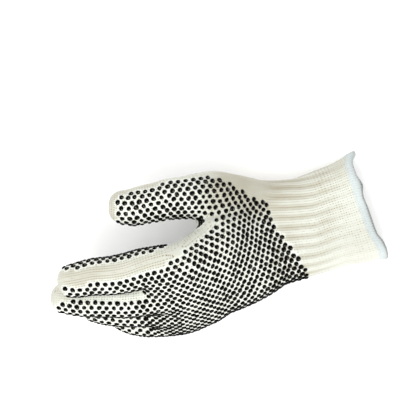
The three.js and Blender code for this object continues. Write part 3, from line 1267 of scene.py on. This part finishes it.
    def knit_map(self, points: np.ndarray, wales: np.ndarray) -> np.ndarray:
        """Knit coordinates of points, blended where tubes meet.

        Args:
            points: the skin's points.
            wales: each point's count of wales from the palm's edge.

        Returns:
            Millimetres along and round the knit's columns.
        """
        total = np.zeros((len(points), 2))
        weight = np.zeros(len(points))
        for name, (gap, nearest) in self.form.readings(points).items():
            tube = self.form.tubes[name]
            run, way, _, _ = tube.local(points, nearest)
            w = np.exp(-np.clip(gap, -1.0, FAR) / self.blend)
            if name == "palm":
                way = wales * self.ribs.wale_pitch
                w = w * (1 - self.palm_left_out * (1 - ramp(points[:, 0], *self.palm_x)))
            if name == "thumb":
                w = w * (1 - ramp(points[:, 0], *self.thumb_x))
            total += np.column_stack([run, way + tube.round_start]) * w[:, None]
            weight += w
        return total / np.maximum(weight, 1e-9)[:, None]


@dataclass
class Patch:
    """One face of the skin, ready to be printed.

    Attributes:
        points: the skin's points.
        triangles: this side's triangles.
        toward: each point's direction towards the tips.
        guess: each point's starting coordinates in the lattice.
        height: how far each point is on this side of its tube's middle.
        room: how far each point is inside the printed field.
    """

    points: np.ndarray
    triangles: np.ndarray
    toward: np.ndarray
    guess: np.ndarray
    height: np.ndarray
    room: np.ndarray


def flat_cross(u: np.ndarray, v: np.ndarray) -> np.ndarray:
    """The signed area between two flat vectors, one pair a row."""
    return u[:, 0] * v[:, 1] - v[:, 0] * u[:, 1]


def relax(
    rows: np.ndarray, cols: np.ndarray, weights: np.ndarray, right: np.ndarray, start: np.ndarray
) -> np.ndarray:
    """Solves a sparse symmetric system by conjugate gradients.

    Args:
        rows: the row of each weight.
        cols: the column of each weight.
        weights: the system's entries, added up where they share a row and a column.
        right: the right-hand side.
        start: the values to start from, which hold the result lightly in place.

    Returns:
        The solved values.
    """
    anchor, close_enough, most_rounds = 1e-6, 1e-4, 1500
    size = len(start)
    diagonal = np.bincount(rows[rows == cols], weights[rows == cols], size) + anchor
    x = start.copy()
    r = right - np.bincount(rows, weights * x[cols], size) - anchor * x
    z = r / diagonal
    d = z.copy()
    energy = r @ z
    for _ in range(most_rounds):
        product = np.bincount(rows, weights * d[cols], size) + anchor * d
        step = energy / (d @ product)
        x += step * d
        r -= step * product
        if np.abs(r).max() < close_enough:
            break
        z = r / diagonal
        fresh = r @ z
        d = z + (fresh / energy) * d
        energy = fresh
    return x


@dataclass
class PrintedDots:
    """The lattice of PVC dots on one face of the glove.

    Lengths are in millimetres.

    Attributes:
        form: the glove's outside.
        skin: the skin that is printed.
        side: the face of the glove.
        pitch: the step between dots along the fingers.
        row_pitch: the step between rows, each shifted by half a pitch.
        radius: a dot's radius.
        size_spread: how much the radii differ, as a share.
        height: a dot's height over the knit.
        jitter: how far the dots stray from the lattice.
        sides: the number of points round a dot.
        profile: a dot's rings, as shares of its radius and of its height.
        painted_glint_from: the way across each dot towards its painted highlight.
        seed: the seed of the random draws.
        strip_low: the height below which the plain strip doesn't reach.
        cuff_limit: the last printed x and its y, from the thumb's side on.
        smear: dots smeared together at the thumb's root: x, y and radius.
        smear_z: their height before they settle on the knit.
        strip: the plain strip along the index finger: x, y and half its width.
        places: the dots' places, once they are printed.
    """

    form: GloveForm
    skin: bpy.types.Object
    side: Side
    pitch: float = 5.3
    row_pitch: float = 3.35
    radius: float = 1.8
    size_spread: float = 0.07
    height: float = 0.95
    jitter: float = 0.14
    sides: int = 10
    profile: tuple[tuple[float, float], ...] = ((1.0, -0.35), (1.0, 0.12), (0.84, 0.62), (0.5, 0.92))
    painted_glint_from: tuple[float, float, float] = (0.63, -0.77, 0.0)
    seed: int = 11
    strip_low: float = 42.0
    cuff_limit: tuple[tuple[float, float], ...] = (
        (-11.7, 51), (-3.6, 49), (-0.8, 46), (4, 45.8), (8.5, 43.2), (11.5, 41), (15, 38.8), (19.3, 36.6),
        (23, 34.4), (27.3, 33), (31.5, 30.2), (34, 24), (37, 17.4), (40.4, 11), (44.3, 4.5), (48.5, -1.3),
        (53, -7), (56, -11), (60, -15), (62, -19),
    )
    smear: tuple[tuple[float, float, float], ...] = (
        (-19.6, 19.2, 1.5), (-17.2, 18, 1.9), (-16.4, 15.4, 1.9), (-17, 12.8, 1.6),
        (-14.6, 17.6, 1.7), (-17.9, 11, 1.1),
    )
    smear_z: float = 56.0
    strip: tuple[tuple[float, float, float], ...] = (
        (-114, -23, 6), (-95, -20.5, 6.4), (-80, -18.6, 6.8), (-63, -14.8, 7), (-46, -8.4, 6.0),
        (-38, -4, 5.4), (-32, 0.6, 4.8), (-25.5, 5, 3.9), (-19.5, 9.4, 3.1), (-14, 12.6, 3.0),
        (-11, 16.5, 2.4),
    )
    places: np.ndarray | None = None

    def patch(self) -> Patch:
        """Cuts this side's triangles out of the skin.

        Returns:
            The patch to print on.
        """
        everywhere, blend, edge_overlap = 9.0, 1.5, 1.5
        mesh = self.skin.data
        points = mesh_points(mesh)
        mesh.calc_loop_triangles()
        flat = np.zeros(3 * len(mesh.loop_triangles), int)
        mesh.loop_triangles.foreach_get("vertices", flat)
        triangles = flat.reshape(-1, 3)
        toward = np.zeros_like(points)
        guess = np.zeros((len(points), 2))
        weight = np.zeros(len(points))
        best = np.full(len(points), FAR)
        height = np.zeros(len(points))
        room = np.zeros(len(points))
        for name, (gap, nearest) in self.form.readings(points).items():
            tube = self.form.tubes[name]
            run, way, girth, b = tube.local(points, nearest)
            w = np.exp(-np.clip(gap, -1.0, FAR) / blend)
            toward += tube.toward[nearest] * w[:, None]
            guess += np.column_stack([run, way + tube.round_start]) * w[:, None]
            weight += w
            own = gap < best
            best = np.where(own, gap, best)
            height = np.where(own, b * self.side.value, height)
            bare = tube.bare_back if self.side is Side.BACK else tube.bare_palm
            left = np.minimum(way - bare, girth - way - tube.bare_far_edge)
            left = np.where(points[:, 0] > tube.bare_until, everywhere, left)
            tip = tube.run[-1] + tube.radius[-1] - tube.bare_tip - run
            inside = everywhere if name == "palm" else np.minimum(left, tip)
            room = np.where(own, inside, room)
        keep = np.mean(height[triangles], axis=1) > -edge_overlap
        return Patch(points, triangles[keep], unit(toward), guess / weight[:, None], height, room)

    def lattice_map(self, patch: Patch) -> np.ndarray:
        """Flattens a patch so that one coordinate runs along the fingers.

        Args:
            patch: the printed side's patch.

        Returns:
            Two coordinates for each point, in millimetres.
        """
        used, inverse = np.unique(patch.triangles, return_inverse=True)
        tri = inverse.reshape(-1, 3)
        corners = patch.points[used]
        a, b, c = (corners[tri[:, k]] for k in range(3))
        normal = np.cross(b - a, c - a)
        double = np.linalg.norm(normal, axis=1)
        good = double > 1e-7
        tri, a, b, c, normal, double = (v[good] for v in (tri, a, b, c, normal, double))
        normal = normal / double[:, None]
        along = patch.toward[used][tri].mean(1)
        along = unit(along - normal * np.sum(along * normal, 1, keepdims=True))
        over = np.cross(normal, along) * self.side.value
        slopes = [np.cross(normal, side) / double[:, None] for side in (c - b, a - c, b - a)]
        area = double / 2
        pairs = [(i, j) for i in range(3) for j in range(3)]
        rows = np.concatenate([tri[:, i] for i, _ in pairs])
        cols = np.concatenate([tri[:, j] for _, j in pairs])
        weights = np.concatenate([area * np.sum(slopes[i] * slopes[j], 1) for i, j in pairs])
        result = np.zeros((len(patch.points), 2))
        for axis, wish in enumerate((along, over)):
            right = np.zeros(len(used))
            for i in range(3):
                right += np.bincount(tri[:, i], area * np.sum(slopes[i] * wish, 1), len(used))
            result[used, axis] = relax(rows, cols, weights, right, patch.guess[used, axis])
        return result

    def lattice(self) -> tuple[np.ndarray, np.ndarray]:
        """Finds the lattice's dots on the skin.

        Returns:
            Each dot's place and its direction towards the tips.
        """
        patch = self.patch()
        points, triangles = patch.points, patch.triangles
        corner = self.lattice_map(patch)[triangles]
        steps = np.array([self.pitch / 2, self.row_pitch])
        low = np.floor(corner.min(1) / steps).astype(int)
        high = np.ceil(corner.max(1) / steps).astype(int)
        most = (high - low).max(0)
        a, b, c = corner[:, 0], corner[:, 1], corner[:, 2]
        whole = flat_cross(b - a, c - a)
        found, ahead = [], []
        for shift in np.ndindex(most[0] + 1, most[1] + 1):
            knot = low + shift
            spot = knot * steps
            second = flat_cross(spot - a, c - a) / whole
            third = flat_cross(b - a, spot - a) / whole
            first = 1 - second - third
            hit = (knot.sum(1) % 2 == 0) & (first >= 0) & (second >= 0) & (third > 0)
            shares = np.stack([first, second, third], 1)[hit]
            tri = triangles[hit]
            place = np.einsum("ij,ijk->ik", shares, points[tri])
            room = np.einsum("ij,ij->i", shares, patch.room[tri])
            height = np.einsum("ij,ij->i", shares, patch.height[tri])
            keep = (room > 0) & (height > 0) & self.printed(place)
            found.append(place[keep])
            ahead.append(unit(patch.toward[tri].mean(1))[keep])
        return np.concatenate(found), np.concatenate(ahead)

    def printed(self, place: np.ndarray) -> np.ndarray:
        """Says which places are clear of the plain cuff end and of the plain strip.

        Args:
            place: the places, in millimetres.

        Returns:
            True for each place that is printed.
        """
        edge = np.array(self.cuff_limit, float)
        edge = edge[np.argsort(edge[:, 1])]
        clear = place[:, 0] < np.interp(place[:, 1], edge[:, 1], edge[:, 0])
        strip = np.array(self.strip, float)
        for a, b in zip(strip[:-1], strip[1:]):
            line = b[:2] - a[:2]
            t = np.clip((place[:, :2] - a[:2]) @ line / (line @ line), 0, 1)
            gap = np.linalg.norm(place[:, :2] - a[:2] - t[:, None] * line, axis=1)
            clear &= (gap > a[2] + t * (b[2] - a[2])) | (place[:, 2] < self.strip_low)
        return clear

    def sited(self, rng: np.random.Generator) -> tuple[np.ndarray, np.ndarray, np.ndarray]:
        """Sets out the dots: the lattice without its lone dots, and the smeared ones.

        Args:
            rng: the random draws.

        Returns:
            Each dot's place, its direction towards the tips and its radius.
        """
        company_reach, company_least, radius_limits = 1.3, 2, (0.8, 1.2)
        place, ahead = self.lattice()
        gaps = np.linalg.norm(place[:, None] - place[None], axis=-1)
        company = (gaps < company_reach * self.pitch).sum(1) > company_least
        place, ahead = place[company], ahead[company]
        place = place + rng.normal(0, self.jitter, place.shape)
        smear = np.array(self.smear if self.side is Side.BACK else (), float).reshape(-1, 3)
        fresh = np.column_stack([smear[:, :2], np.full(len(smear), self.smear_z)])
        place = np.concatenate([place, fresh])
        ahead = np.concatenate([ahead, np.tile([-1.0, 0.0, 0.0], (len(smear), 1))])
        size = self.radius * rng.normal(1.0, self.size_spread, len(place)).clip(*radius_limits)
        size[len(size) - len(smear):] = smear[:, 2]
        return self.form.settle(place), ahead, size

    def dome_faces(self, count: int) -> list[list[int]]:
        """Joins the points of every dome, its rings first and then its tops.

        Args:
            count: how many domes there are.

        Returns:
            The faces, as point numbers.
        """
        per_dome = len(self.profile) * self.sides + 1
        base = np.arange(count)[:, None, None] * per_dome
        rings = grid_faces(len(self.profile), self.sides)
        last = (len(self.profile) - 1) * self.sides
        k = np.arange(self.sides)
        caps = np.stack([last + k, last + (k + 1) % self.sides, np.full(self.sides, per_dome - 1)], 1)
        return (rings + base).reshape(-1, 4).tolist() + (caps + base).reshape(-1, 3).tolist()

    def build(self) -> bpy.types.Object:
        """Sets a small dome on each place.

        Returns:
            All domes of this side, as one mesh.
        """
        floor_gap, oval, three_sided, whole_turn, wide_step = 0.03, 0.06, 0.05, 6.3, 0.6
        rng = np.random.default_rng(self.seed)
        place, ahead, size = self.sited(rng)
        normal = unit(self.form.slope(place, wide_step))
        ahead = unit(ahead - normal * np.sum(ahead * normal, 1, keepdims=True))
        across = np.cross(normal, ahead)
        # The spot map is turned towards the side of each dot where its painted highlight sits.
        lit = np.array(self.painted_glint_from)
        lit = unit(lit - normal * (normal @ lit)[:, None])
        beside = np.cross(normal, lit)
        angle = np.arange(self.sides) * 2 * math.pi / self.sides
        lobes = 1 + oval * np.cos(2 * angle[None] + rng.uniform(0, whole_turn, (len(place), 1)))
        lobes += three_sided * np.cos(3 * angle[None] + rng.uniform(0, whole_turn, (len(place), 1)))
        rim = np.cos(angle)[None, :, None] * ahead[:, None] + np.sin(angle)[None, :, None] * across[:, None]
        on_face = np.stack([np.einsum("ijk,ik->ij", rim, way) for way in (lit, beside)], -1)
        points, spots = [], []
        for out, up in self.profile:
            ring = place[:, None] + (size[:, None] * lobes)[:, :, None] * out * rim
            points.append(ring + (up * self.height) * normal[:, None])
            spots.append(out * on_face)
        points.append((place + normal * self.height)[:, None])
        spots.append(np.zeros((len(place), 1, 2)))
        domes = np.concatenate(points, 1).reshape(-1, 3)
        domes[:, 2] = np.maximum(domes[:, 2], floor_gap)
        piece = mesh_object(f"{self.side.name.lower()}_dots", domes, self.dome_faces(len(place)))
        set_map(piece.data, "spot", np.concatenate(spots, 1).reshape(-1, 2))
        self.places = place
        LOG.info("%s: %d dots", piece.name, len(place))
        return piece


@dataclass
class RibbedCuff:
    """The ribbed tube from the wrist to the hem, with its fine wales in the mesh.

    Lengths are in millimetres.

    Attributes:
        form: the glove's outside.
        ribs: the ribs.
        wear_and_shading: how worn the knit is, with the shade and light painted on it.
        start: the palm tube's sample at the wrist.
        points_per_wale: the mesh's points round each wale.
        rows: the number of rings along the cuff.
        tuck: how far the cuff's end lies inside the hand.
        sunk: how deep its end is sunk under the skin.
        sunk_from: where the cuff starts to sink.
        join: the length over which it leaves the hand's fuller form.
        wall: the knit's thickness.
        wale_relief: how far the wales stand out of the ribs.
        wale_shape: how round the wales are.
        mouth_x: where the cuff ends, under the hem.
        floor_gap: how far the cuff stays over the surface below.
    """

    form: GloveForm
    ribs: Ribs
    wear_and_shading: KnitWearAndShading
    start: int
    points_per_wale: int = 6
    rows: int = 56
    tuck: float = 8.0
    sunk: float = 0.7
    sunk_from: float = 3.0
    join: float = 22.0
    wall: float = 2.4
    wale_relief: float = 0.03
    wale_shape: float = 0.6
    mouth_x: float = 104.8
    floor_gap: float = 0.05

    def relief(self, wales: np.ndarray, x: np.ndarray) -> np.ndarray:
        """How far the knit stands out at the points of one ring.

        Args:
            wales: each point's count of wales.
            x: each point's place along the glove.

        Returns:
            Millimetres, negative in the grooves.
        """
        crown = np.abs(np.sin(math.pi * wales)) ** self.wale_shape
        rib = self.ribs.depth * self.ribs.strength(x) * self.ribs.groove(wales)
        return self.wale_relief * (crown - 1.0) - rib

    def build(self) -> bpy.types.Object:
        """Lofts the cuff from just inside the hand to the hem, and maps its knit.

        Returns:
            The cuff, open at both ends.
        """
        palm = self.form.tubes["palm"]
        spacing = palm.run[1] - palm.run[0]
        samples = np.arange(len(palm.run))
        end = int(np.argmin(np.abs(palm.centre[:, 0] - self.mouth_x)))
        around = self.ribs.count * self.ribs.wales * self.points_per_wale
        share = np.arange(around) / around
        places = np.linspace(self.start + self.tuck / spacing, end, self.rows)
        past_wrist = np.interp(places, samples, palm.centre[:, 0]) - palm.centre[self.start, 0]
        under = self.sunk * ramp((places - self.start) * spacing, self.sunk_from, self.tuck)
        fuller = 1 - ramp(past_wrist, 0.0, self.join)
        rings, plain_x = [], []
        for k, place in enumerate(places):
            plain = palm.ring(place, share, np.zeros(around))
            swell = np.maximum(-self.form.value(plain), 0) * fuller[k]
            relief = self.relief(self.ribs.wales_at(share, plain[:, 0]), plain[:, 0])
            rings.append(palm.ring(place, share, relief - under[k] + swell))
            plain_x.append(plain[:, 0])
        points, plain_x = np.concatenate(rings), np.concatenate(plain_x)
        points[:, 2] = np.maximum(points[:, 2], self.floor_gap)
        piece = mesh_object("rib_cuff", points, grid_faces(self.rows, around).tolist())
        along = np.repeat(np.interp(places, samples, palm.run), around)
        shares = np.tile(share, self.rows)
        wales = self.ribs.wales_at(shares, plain_x)
        set_map(piece.data, "knit", np.column_stack([along, wales * self.ribs.wale_pitch]))
        set_map(piece.data, "rib", np.column_stack([wales / self.ribs.wales, self.ribs.strength(plain_x)]))
        shading_places = np.column_stack([plain_x, points[:, 1]])
        set_map(piece.data, "wear_and_shading", self.wear_and_shading.plain(shares, shading_places))
        add_wall(piece, self.wall)
        return piece


@dataclass(frozen=True)
class HemHolesAndShade:
    """Painted shade on the hem's threads: shadows in the gaps along the rim, and shade on
    the band's rounded side and at the corner's lump; the far side is darker.

    Spans in over are points over the band's section from its top, spans in fold are
    shares of the girth from the thumb-side edge.
    """

    rim_over: tuple[float, float] = (1.0, 2.4)
    under_over: tuple[float, float] = (6.5, 8.0)
    rim_fold: tuple[float, float] = (0.13, 0.17)
    rim_least: float = 0.35
    rim_gap_shade: float = 4.0
    rim_shade: float = 0.9
    holes: float = 0.5
    grey_over: tuple[float, float] = (-1.0, 2.0)
    grey: float = 0.4
    corner_fold: float = 0.165
    corner_width: float = 0.02
    far_fold: tuple[float, float] = (0.34, 0.42)
    far_dark: float = 0.3

    def read(self, share: np.ndarray, over: np.ndarray) -> np.ndarray:
        """Reads the threads' holes and their painted shade.

        Args:
            share: each point's share of the girth.
            over: each point's number over the band's section, from its top.

        Returns:
            Two columns, the holes and the darkness, as KnitWearAndShading gives them.
        """
        fold = np.minimum(share, 1 - share)
        under = 1 - ramp(over, *self.under_over)
        bright_end = self.rim_least + (1 - self.rim_least) * ramp(fold, *self.rim_fold)
        # Painted shadow in the stitch gaps along the band's outer rim, weaker at the thumb-side end.
        rim = ramp(over, *self.rim_over) * under * bright_end
        corner = 1 + np.exp(-(((fold - self.corner_fold) / self.corner_width) ** 2))
        # Painted shade on the band's outer, rounded side, twice as strong at the corner's lump.
        grey = self.grey * corner * ramp(over, *self.grey_over) * under
        # Darker towards the far side.
        darkness = self.rim_shade * rim + grey + self.far_dark * ramp(fold, *self.far_fold)
        return np.column_stack([self.holes + self.rim_gap_shade * rim, darkness])


@dataclass
class OverlockedHem:
    """The band of thread wrapped over the cuff's edge.

    Each row of edge says, at a share of the girth from the thumb-side edge over the
    back, how far the band's end sits past the mouth, how far it flares out and how
    long the band is. Lengths are in millimetres.

    Attributes:
        palm: the tube that the cuff and the hem follow.
        wear_and_shading: the threads' holes and their painted shade.
        mouth_x: where the cuff's mouth is.
        wall: the band's thickness.
        stand_out: how far the band's outside lies over the cuff's.
        around: the mesh's points round the mouth.
        over: its points over the band's section.
        soften: how many points the edge's table is smoothed over.
        thread_pitch: the step between threads.
        lean: how many threads each one leans by over the band.
        thread_relief: how far the threads stand out.
        thread_end: how far they stand out at the band's ends.
        course: the length of thread between two points over the section.
        reach: the length of tube that the band is drawn out along.
        floor_gap: how far the hem stays over the surface below.
        edge: the table of the band.
    """

    palm: Tube
    wear_and_shading: HemHolesAndShade
    mouth_x: float = 109.0
    wall: float = 3.4
    stand_out: float = 0.55
    around: int = 624
    over: int = 22
    soften: int = 9
    thread_pitch: float = 2.0
    lean: float = 1.3
    thread_relief: float = 0.22
    thread_end: float = 0.12
    course: float = 0.7
    reach: float = 6.0
    floor_gap: float = 0.02
    edge: tuple[tuple[float, float, float, float], ...] = (
        (0.0, 3.4, 0.2, 9.4), (0.035, 2.6, 0.3, 8.6), (0.055, -0.4, 0.4, 6.8), (0.075, -2.2, 0.3, 6.0),
        (0.124, -2.6, 0.2, 6.6), (0.146, -1.2, 0.5, 8.0), (0.168, -0.5, 0.6, 8.8), (0.185, -1.9, 0.4, 7.8),
        (0.21, -3.0, 0.3, 7.0), (0.25, -2.5, 0.3, 7.2), (0.33, -2.7, 0.3, 7.2), (0.36, -2.4, 0.3, 7.0),
        (0.385, -0.2, 0.3, 7.8), (0.42, 0.9, 0.4, 7.6), (0.46, 0.8, 0.5, 7.2), (0.5, 0.0, 0.5, 6.4),
        (0.6, -1.0, 0.4, 6.8), (0.8, -1.0, 0.4, 6.8), (0.93, 0.0, 0.4, 7.0), (0.98, 2.6, 0.3, 8.6),
        (1.0, 3.4, 0.2, 9.4),
    )

    def softened(self, column: int, share: np.ndarray) -> np.ndarray:
        """Reads a column of the edge's table all round the mouth, smoothed.

        Args:
            column: the column's number.
            share: where each point sits round the mouth.

        Returns:
            A value for each point.
        """
        table = np.array(self.edge)
        values = np.tile(np.interp(share, table[:, 0], table[:, column]), 3)
        kernel = np.ones(self.soften) / self.soften
        return np.convolve(values, kernel, "same")[self.around:2 * self.around]

    def section(self, end: float, back: np.ndarray, share: np.ndarray) -> np.ndarray:
        """Finds points of the cuff's surface, each at its own place back from the mouth.

        Args:
            end: the palm tube's place at the mouth.
            back: how many samples each point lies back, or past the mouth if negative.
            share: where each point sits round the ring.

        Returns:
            The points, one a row.
        """
        near = self.palm.ring(end, share, np.zeros(len(share)))
        far = self.palm.ring(end + self.reach, share, np.zeros(len(share)))
        return near + (far - near) * (back / self.reach)[:, None]

    def build(self) -> bpy.types.Object:
        """Wraps a rounded band over the edge, with slanted threads in it.

        Returns:
            The hem, as one closed ring.
        """
        round_top, round_end, flare_from = 0.6, 0.7, -0.6
        along = np.argsort(self.palm.centre[:, 0])
        end = float(np.interp(self.mouth_x, self.palm.centre[along, 0], along))
        spacing = self.palm.run[1] - self.palm.run[0]
        share = np.arange(self.around) / self.around
        past, flare, length = (self.softened(k, share) for k in (1, 2, 3))
        wide, deep = self.palm.wide[int(end)], self.palm.deep[int(end)]
        threads = round(2 * (math.pi * deep + 2 * (wide - deep)) / self.thread_pitch)
        middle = self.palm.ring(end, share, np.zeros(self.around))
        outward = unit(self.palm.ring(end, share, np.ones(self.around)) - middle)
        wound = 2 * math.pi * share * threads
        half = self.wall / 2
        rings = []
        for k in range(self.over):
            angle = 2 * math.pi * k / self.over
            lift = math.copysign(abs(math.cos(angle)) ** round_top, math.cos(angle))
            reach = math.copysign(abs(math.sin(angle)) ** round_end, math.sin(angle))
            thread = self.thread_relief * np.sin(wound + 2 * math.pi * self.lean * k / self.over) * lift
            tip = ramp(np.array([reach]), flare_from, 1.0)[0]
            grow = self.stand_out - half + half * lift + thread + flare * tip
            slide = past + (length / 2 + self.thread_end * np.sin(wound)) * (reach - 1)
            rings.append(self.section(end, -slide / spacing, share) + outward * grow[:, None])
        points = np.concatenate(rings)
        points[:, 2] = np.maximum(points[:, 2], self.floor_gap)
        rounds = grid_faces(self.over + 1, self.around) % (self.over * self.around)
        piece = mesh_object("overlocked_hem", points, rounds.tolist())
        order = np.repeat((np.arange(self.over) + self.over // 2) % self.over, self.around)
        shares = np.tile(share, self.over)
        slant = shares * threads + self.lean * order / self.over
        set_map(piece.data, "knit", np.column_stack([order * self.course, slant * self.thread_pitch]))
        set_map(piece.data, "wear_and_shading", self.wear_and_shading.read(shares, order - self.over / 2))
        return piece


@dataclass
class Studio:
    """The pale floor, the soft lights and the camera over the glove.

    Attributes:
        photo_side: the photograph's side, in pixels.
        mm_per_pixel: the size of a pixel at the glove's middle height.
        eye_height: the camera's height, in millimetres.
        middle_height: the height at which the scale holds.
        middle: the place that the camera looks at.
        sensor: the camera's sensor, in millimetres.
        sky: the strength of the even light.
        lamps: each lamp's name, its place in metres, its power and its size.
    """

    photo_side: float = 400.0
    mm_per_pixel: float = 0.73
    eye_height: float = 1245.0
    middle_height: float = 45.0
    middle: tuple[float, float] = (-17.44, 33.15)
    sensor: float = 36.0
    sky: float = 1.18
    lamps: tuple[tuple[str, tuple[float, float, float], float, float], ...] = (
        ("key", (0.0, -1.0, 1.3), 18.0, 1.5),
        ("fill", (-0.9, 0.3, 1.3), 6.0, 1.6),
    )

    def camera(self) -> None:
        """Looks straight down from the photograph's place."""
        data = bpy.data.cameras.new("photo_camera")
        width = self.photo_side * self.mm_per_pixel
        data.sensor_width = self.sensor
        data.lens = self.sensor * (self.eye_height - self.middle_height) / width
        data.clip_end = 20.0
        camera = bpy.data.objects.new("photo_camera", data)
        camera.location = (self.middle[0] * METRES, self.middle[1] * METRES, self.eye_height * METRES)
        bpy.context.scene.collection.objects.link(camera)
        bpy.context.scene.camera = camera

    def floor(self) -> None:
        """A plain pale floor under the glove."""
        bpy.ops.mesh.primitive_plane_add(size=6.0, location=(0, 0, 0))
        plane = bpy.context.object
        plane.name = "floor"
        material, _, shader = new_material("pale_floor")
        shader.inputs["Base Color"].default_value = (0.97, 0.97, 0.97, 1)
        shader.inputs["Roughness"].default_value = 0.95
        plane.data.materials.append(material)

    def lights(self) -> None:
        """Soft daylight from above with a stronger side light."""
        world = bpy.data.worlds.new("studio")
        bpy.context.scene.world = world
        world.use_nodes = True
        world.node_tree.nodes["Background"].inputs[0].default_value = (1, 1, 1, 1)
        world.node_tree.nodes["Background"].inputs[1].default_value = self.sky
        aim = Vector((0, 0, 0.03))
        for name, place, power, size in self.lamps:
            data = bpy.data.lights.new(name, "AREA")
            data.energy = power
            data.size = size
            light = bpy.data.objects.new(name, data)
            light.location = place
            light.rotation_euler = (aim - Vector(place)).to_track_quat("-Z", "Y").to_euler()
            bpy.context.scene.collection.objects.link(light)
        bpy.context.scene.view_settings.view_transform = "Standard"

    def build(self) -> None:
        """Sets up the floor, the lights and the camera."""
        self.camera()
        self.floor()
        self.lights()


def finish_piece(piece: bpy.types.Object, material: bpy.types.Material) -> None:
    """Dresses a piece and ties it to the glove's body.

    Args:
        piece: the piece.
        material: its finish.
    """
    piece.data.materials.clear()
    piece.data.materials.append(material)
    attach(piece, BODY)
    LOG.info("%s: %d faces", piece.name, len(piece.data.polygons))


def main() -> None:
    """Builds the glove's pieces in order and dresses each one."""
    logging.basicConfig(level=logging.INFO, format="%(name)s: %(message)s")
    Studio().build()
    groups = {group.name: group for group in (knit_loops_group(), yarn_tone_group(), rib_shade_group())}
    # The cream's dark colour serves its gaps, its brownish yarn and its painted shade.
    cream = KnitFinish(
        name="cream_knit", light=(0.60, 0.62, 0.56, 1), dark=(0.25, 0.205, 0.12, 1),
        wale=1.8, course=1.9, relief=0.2,
    ).build(groups)
    # The thread's dark colour is mostly painted shade on the hem's rim and rounded side.
    thread = KnitFinish(
        name="hem_thread", light=(0.53, 0.58, 0.57, 1), dark=(0.07, 0.075, 0.075, 1),
        wale=2.0, course=1.4, relief=0.3, gap_tone=0.2, darkness_tone=0.4, groove_shade_tone=0.0,
    ).build(groups)
    dots = DotFinish().build()
    ribs, wear_and_shading = Ribs(), KnitWearAndShading()
    tubes = glove_tubes()
    form = GloveForm(tubes, creases=glove_creases())
    skin_maker = GloveSkin(form, ribs, wear_and_shading)
    skin = skin_maker.build()
    finish_piece(skin, cream)
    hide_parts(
        "palm", "knuckles", "thumb", "index_finger", "middle_finger", "ring_finger", "little_finger"
    )
    prints = [PrintedDots(form, skin, side) for side in Side]
    for face in prints:
        finish_piece(face.build(), dots)
    skin_maker.mark_wear_and_shading(np.concatenate([face.places for face in prints]))
    cuff = RibbedCuff(form, ribs, wear_and_shading, skin_maker.wrist_sample()).build()
    finish_piece(cuff, cream)
    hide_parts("cuff")
    hem = OverlockedHem(tubes["palm"], HemHolesAndShade()).build()
    finish_piece(hem, thread)
    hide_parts("cuff_hem")


if __name__ == "__main__":
    main()
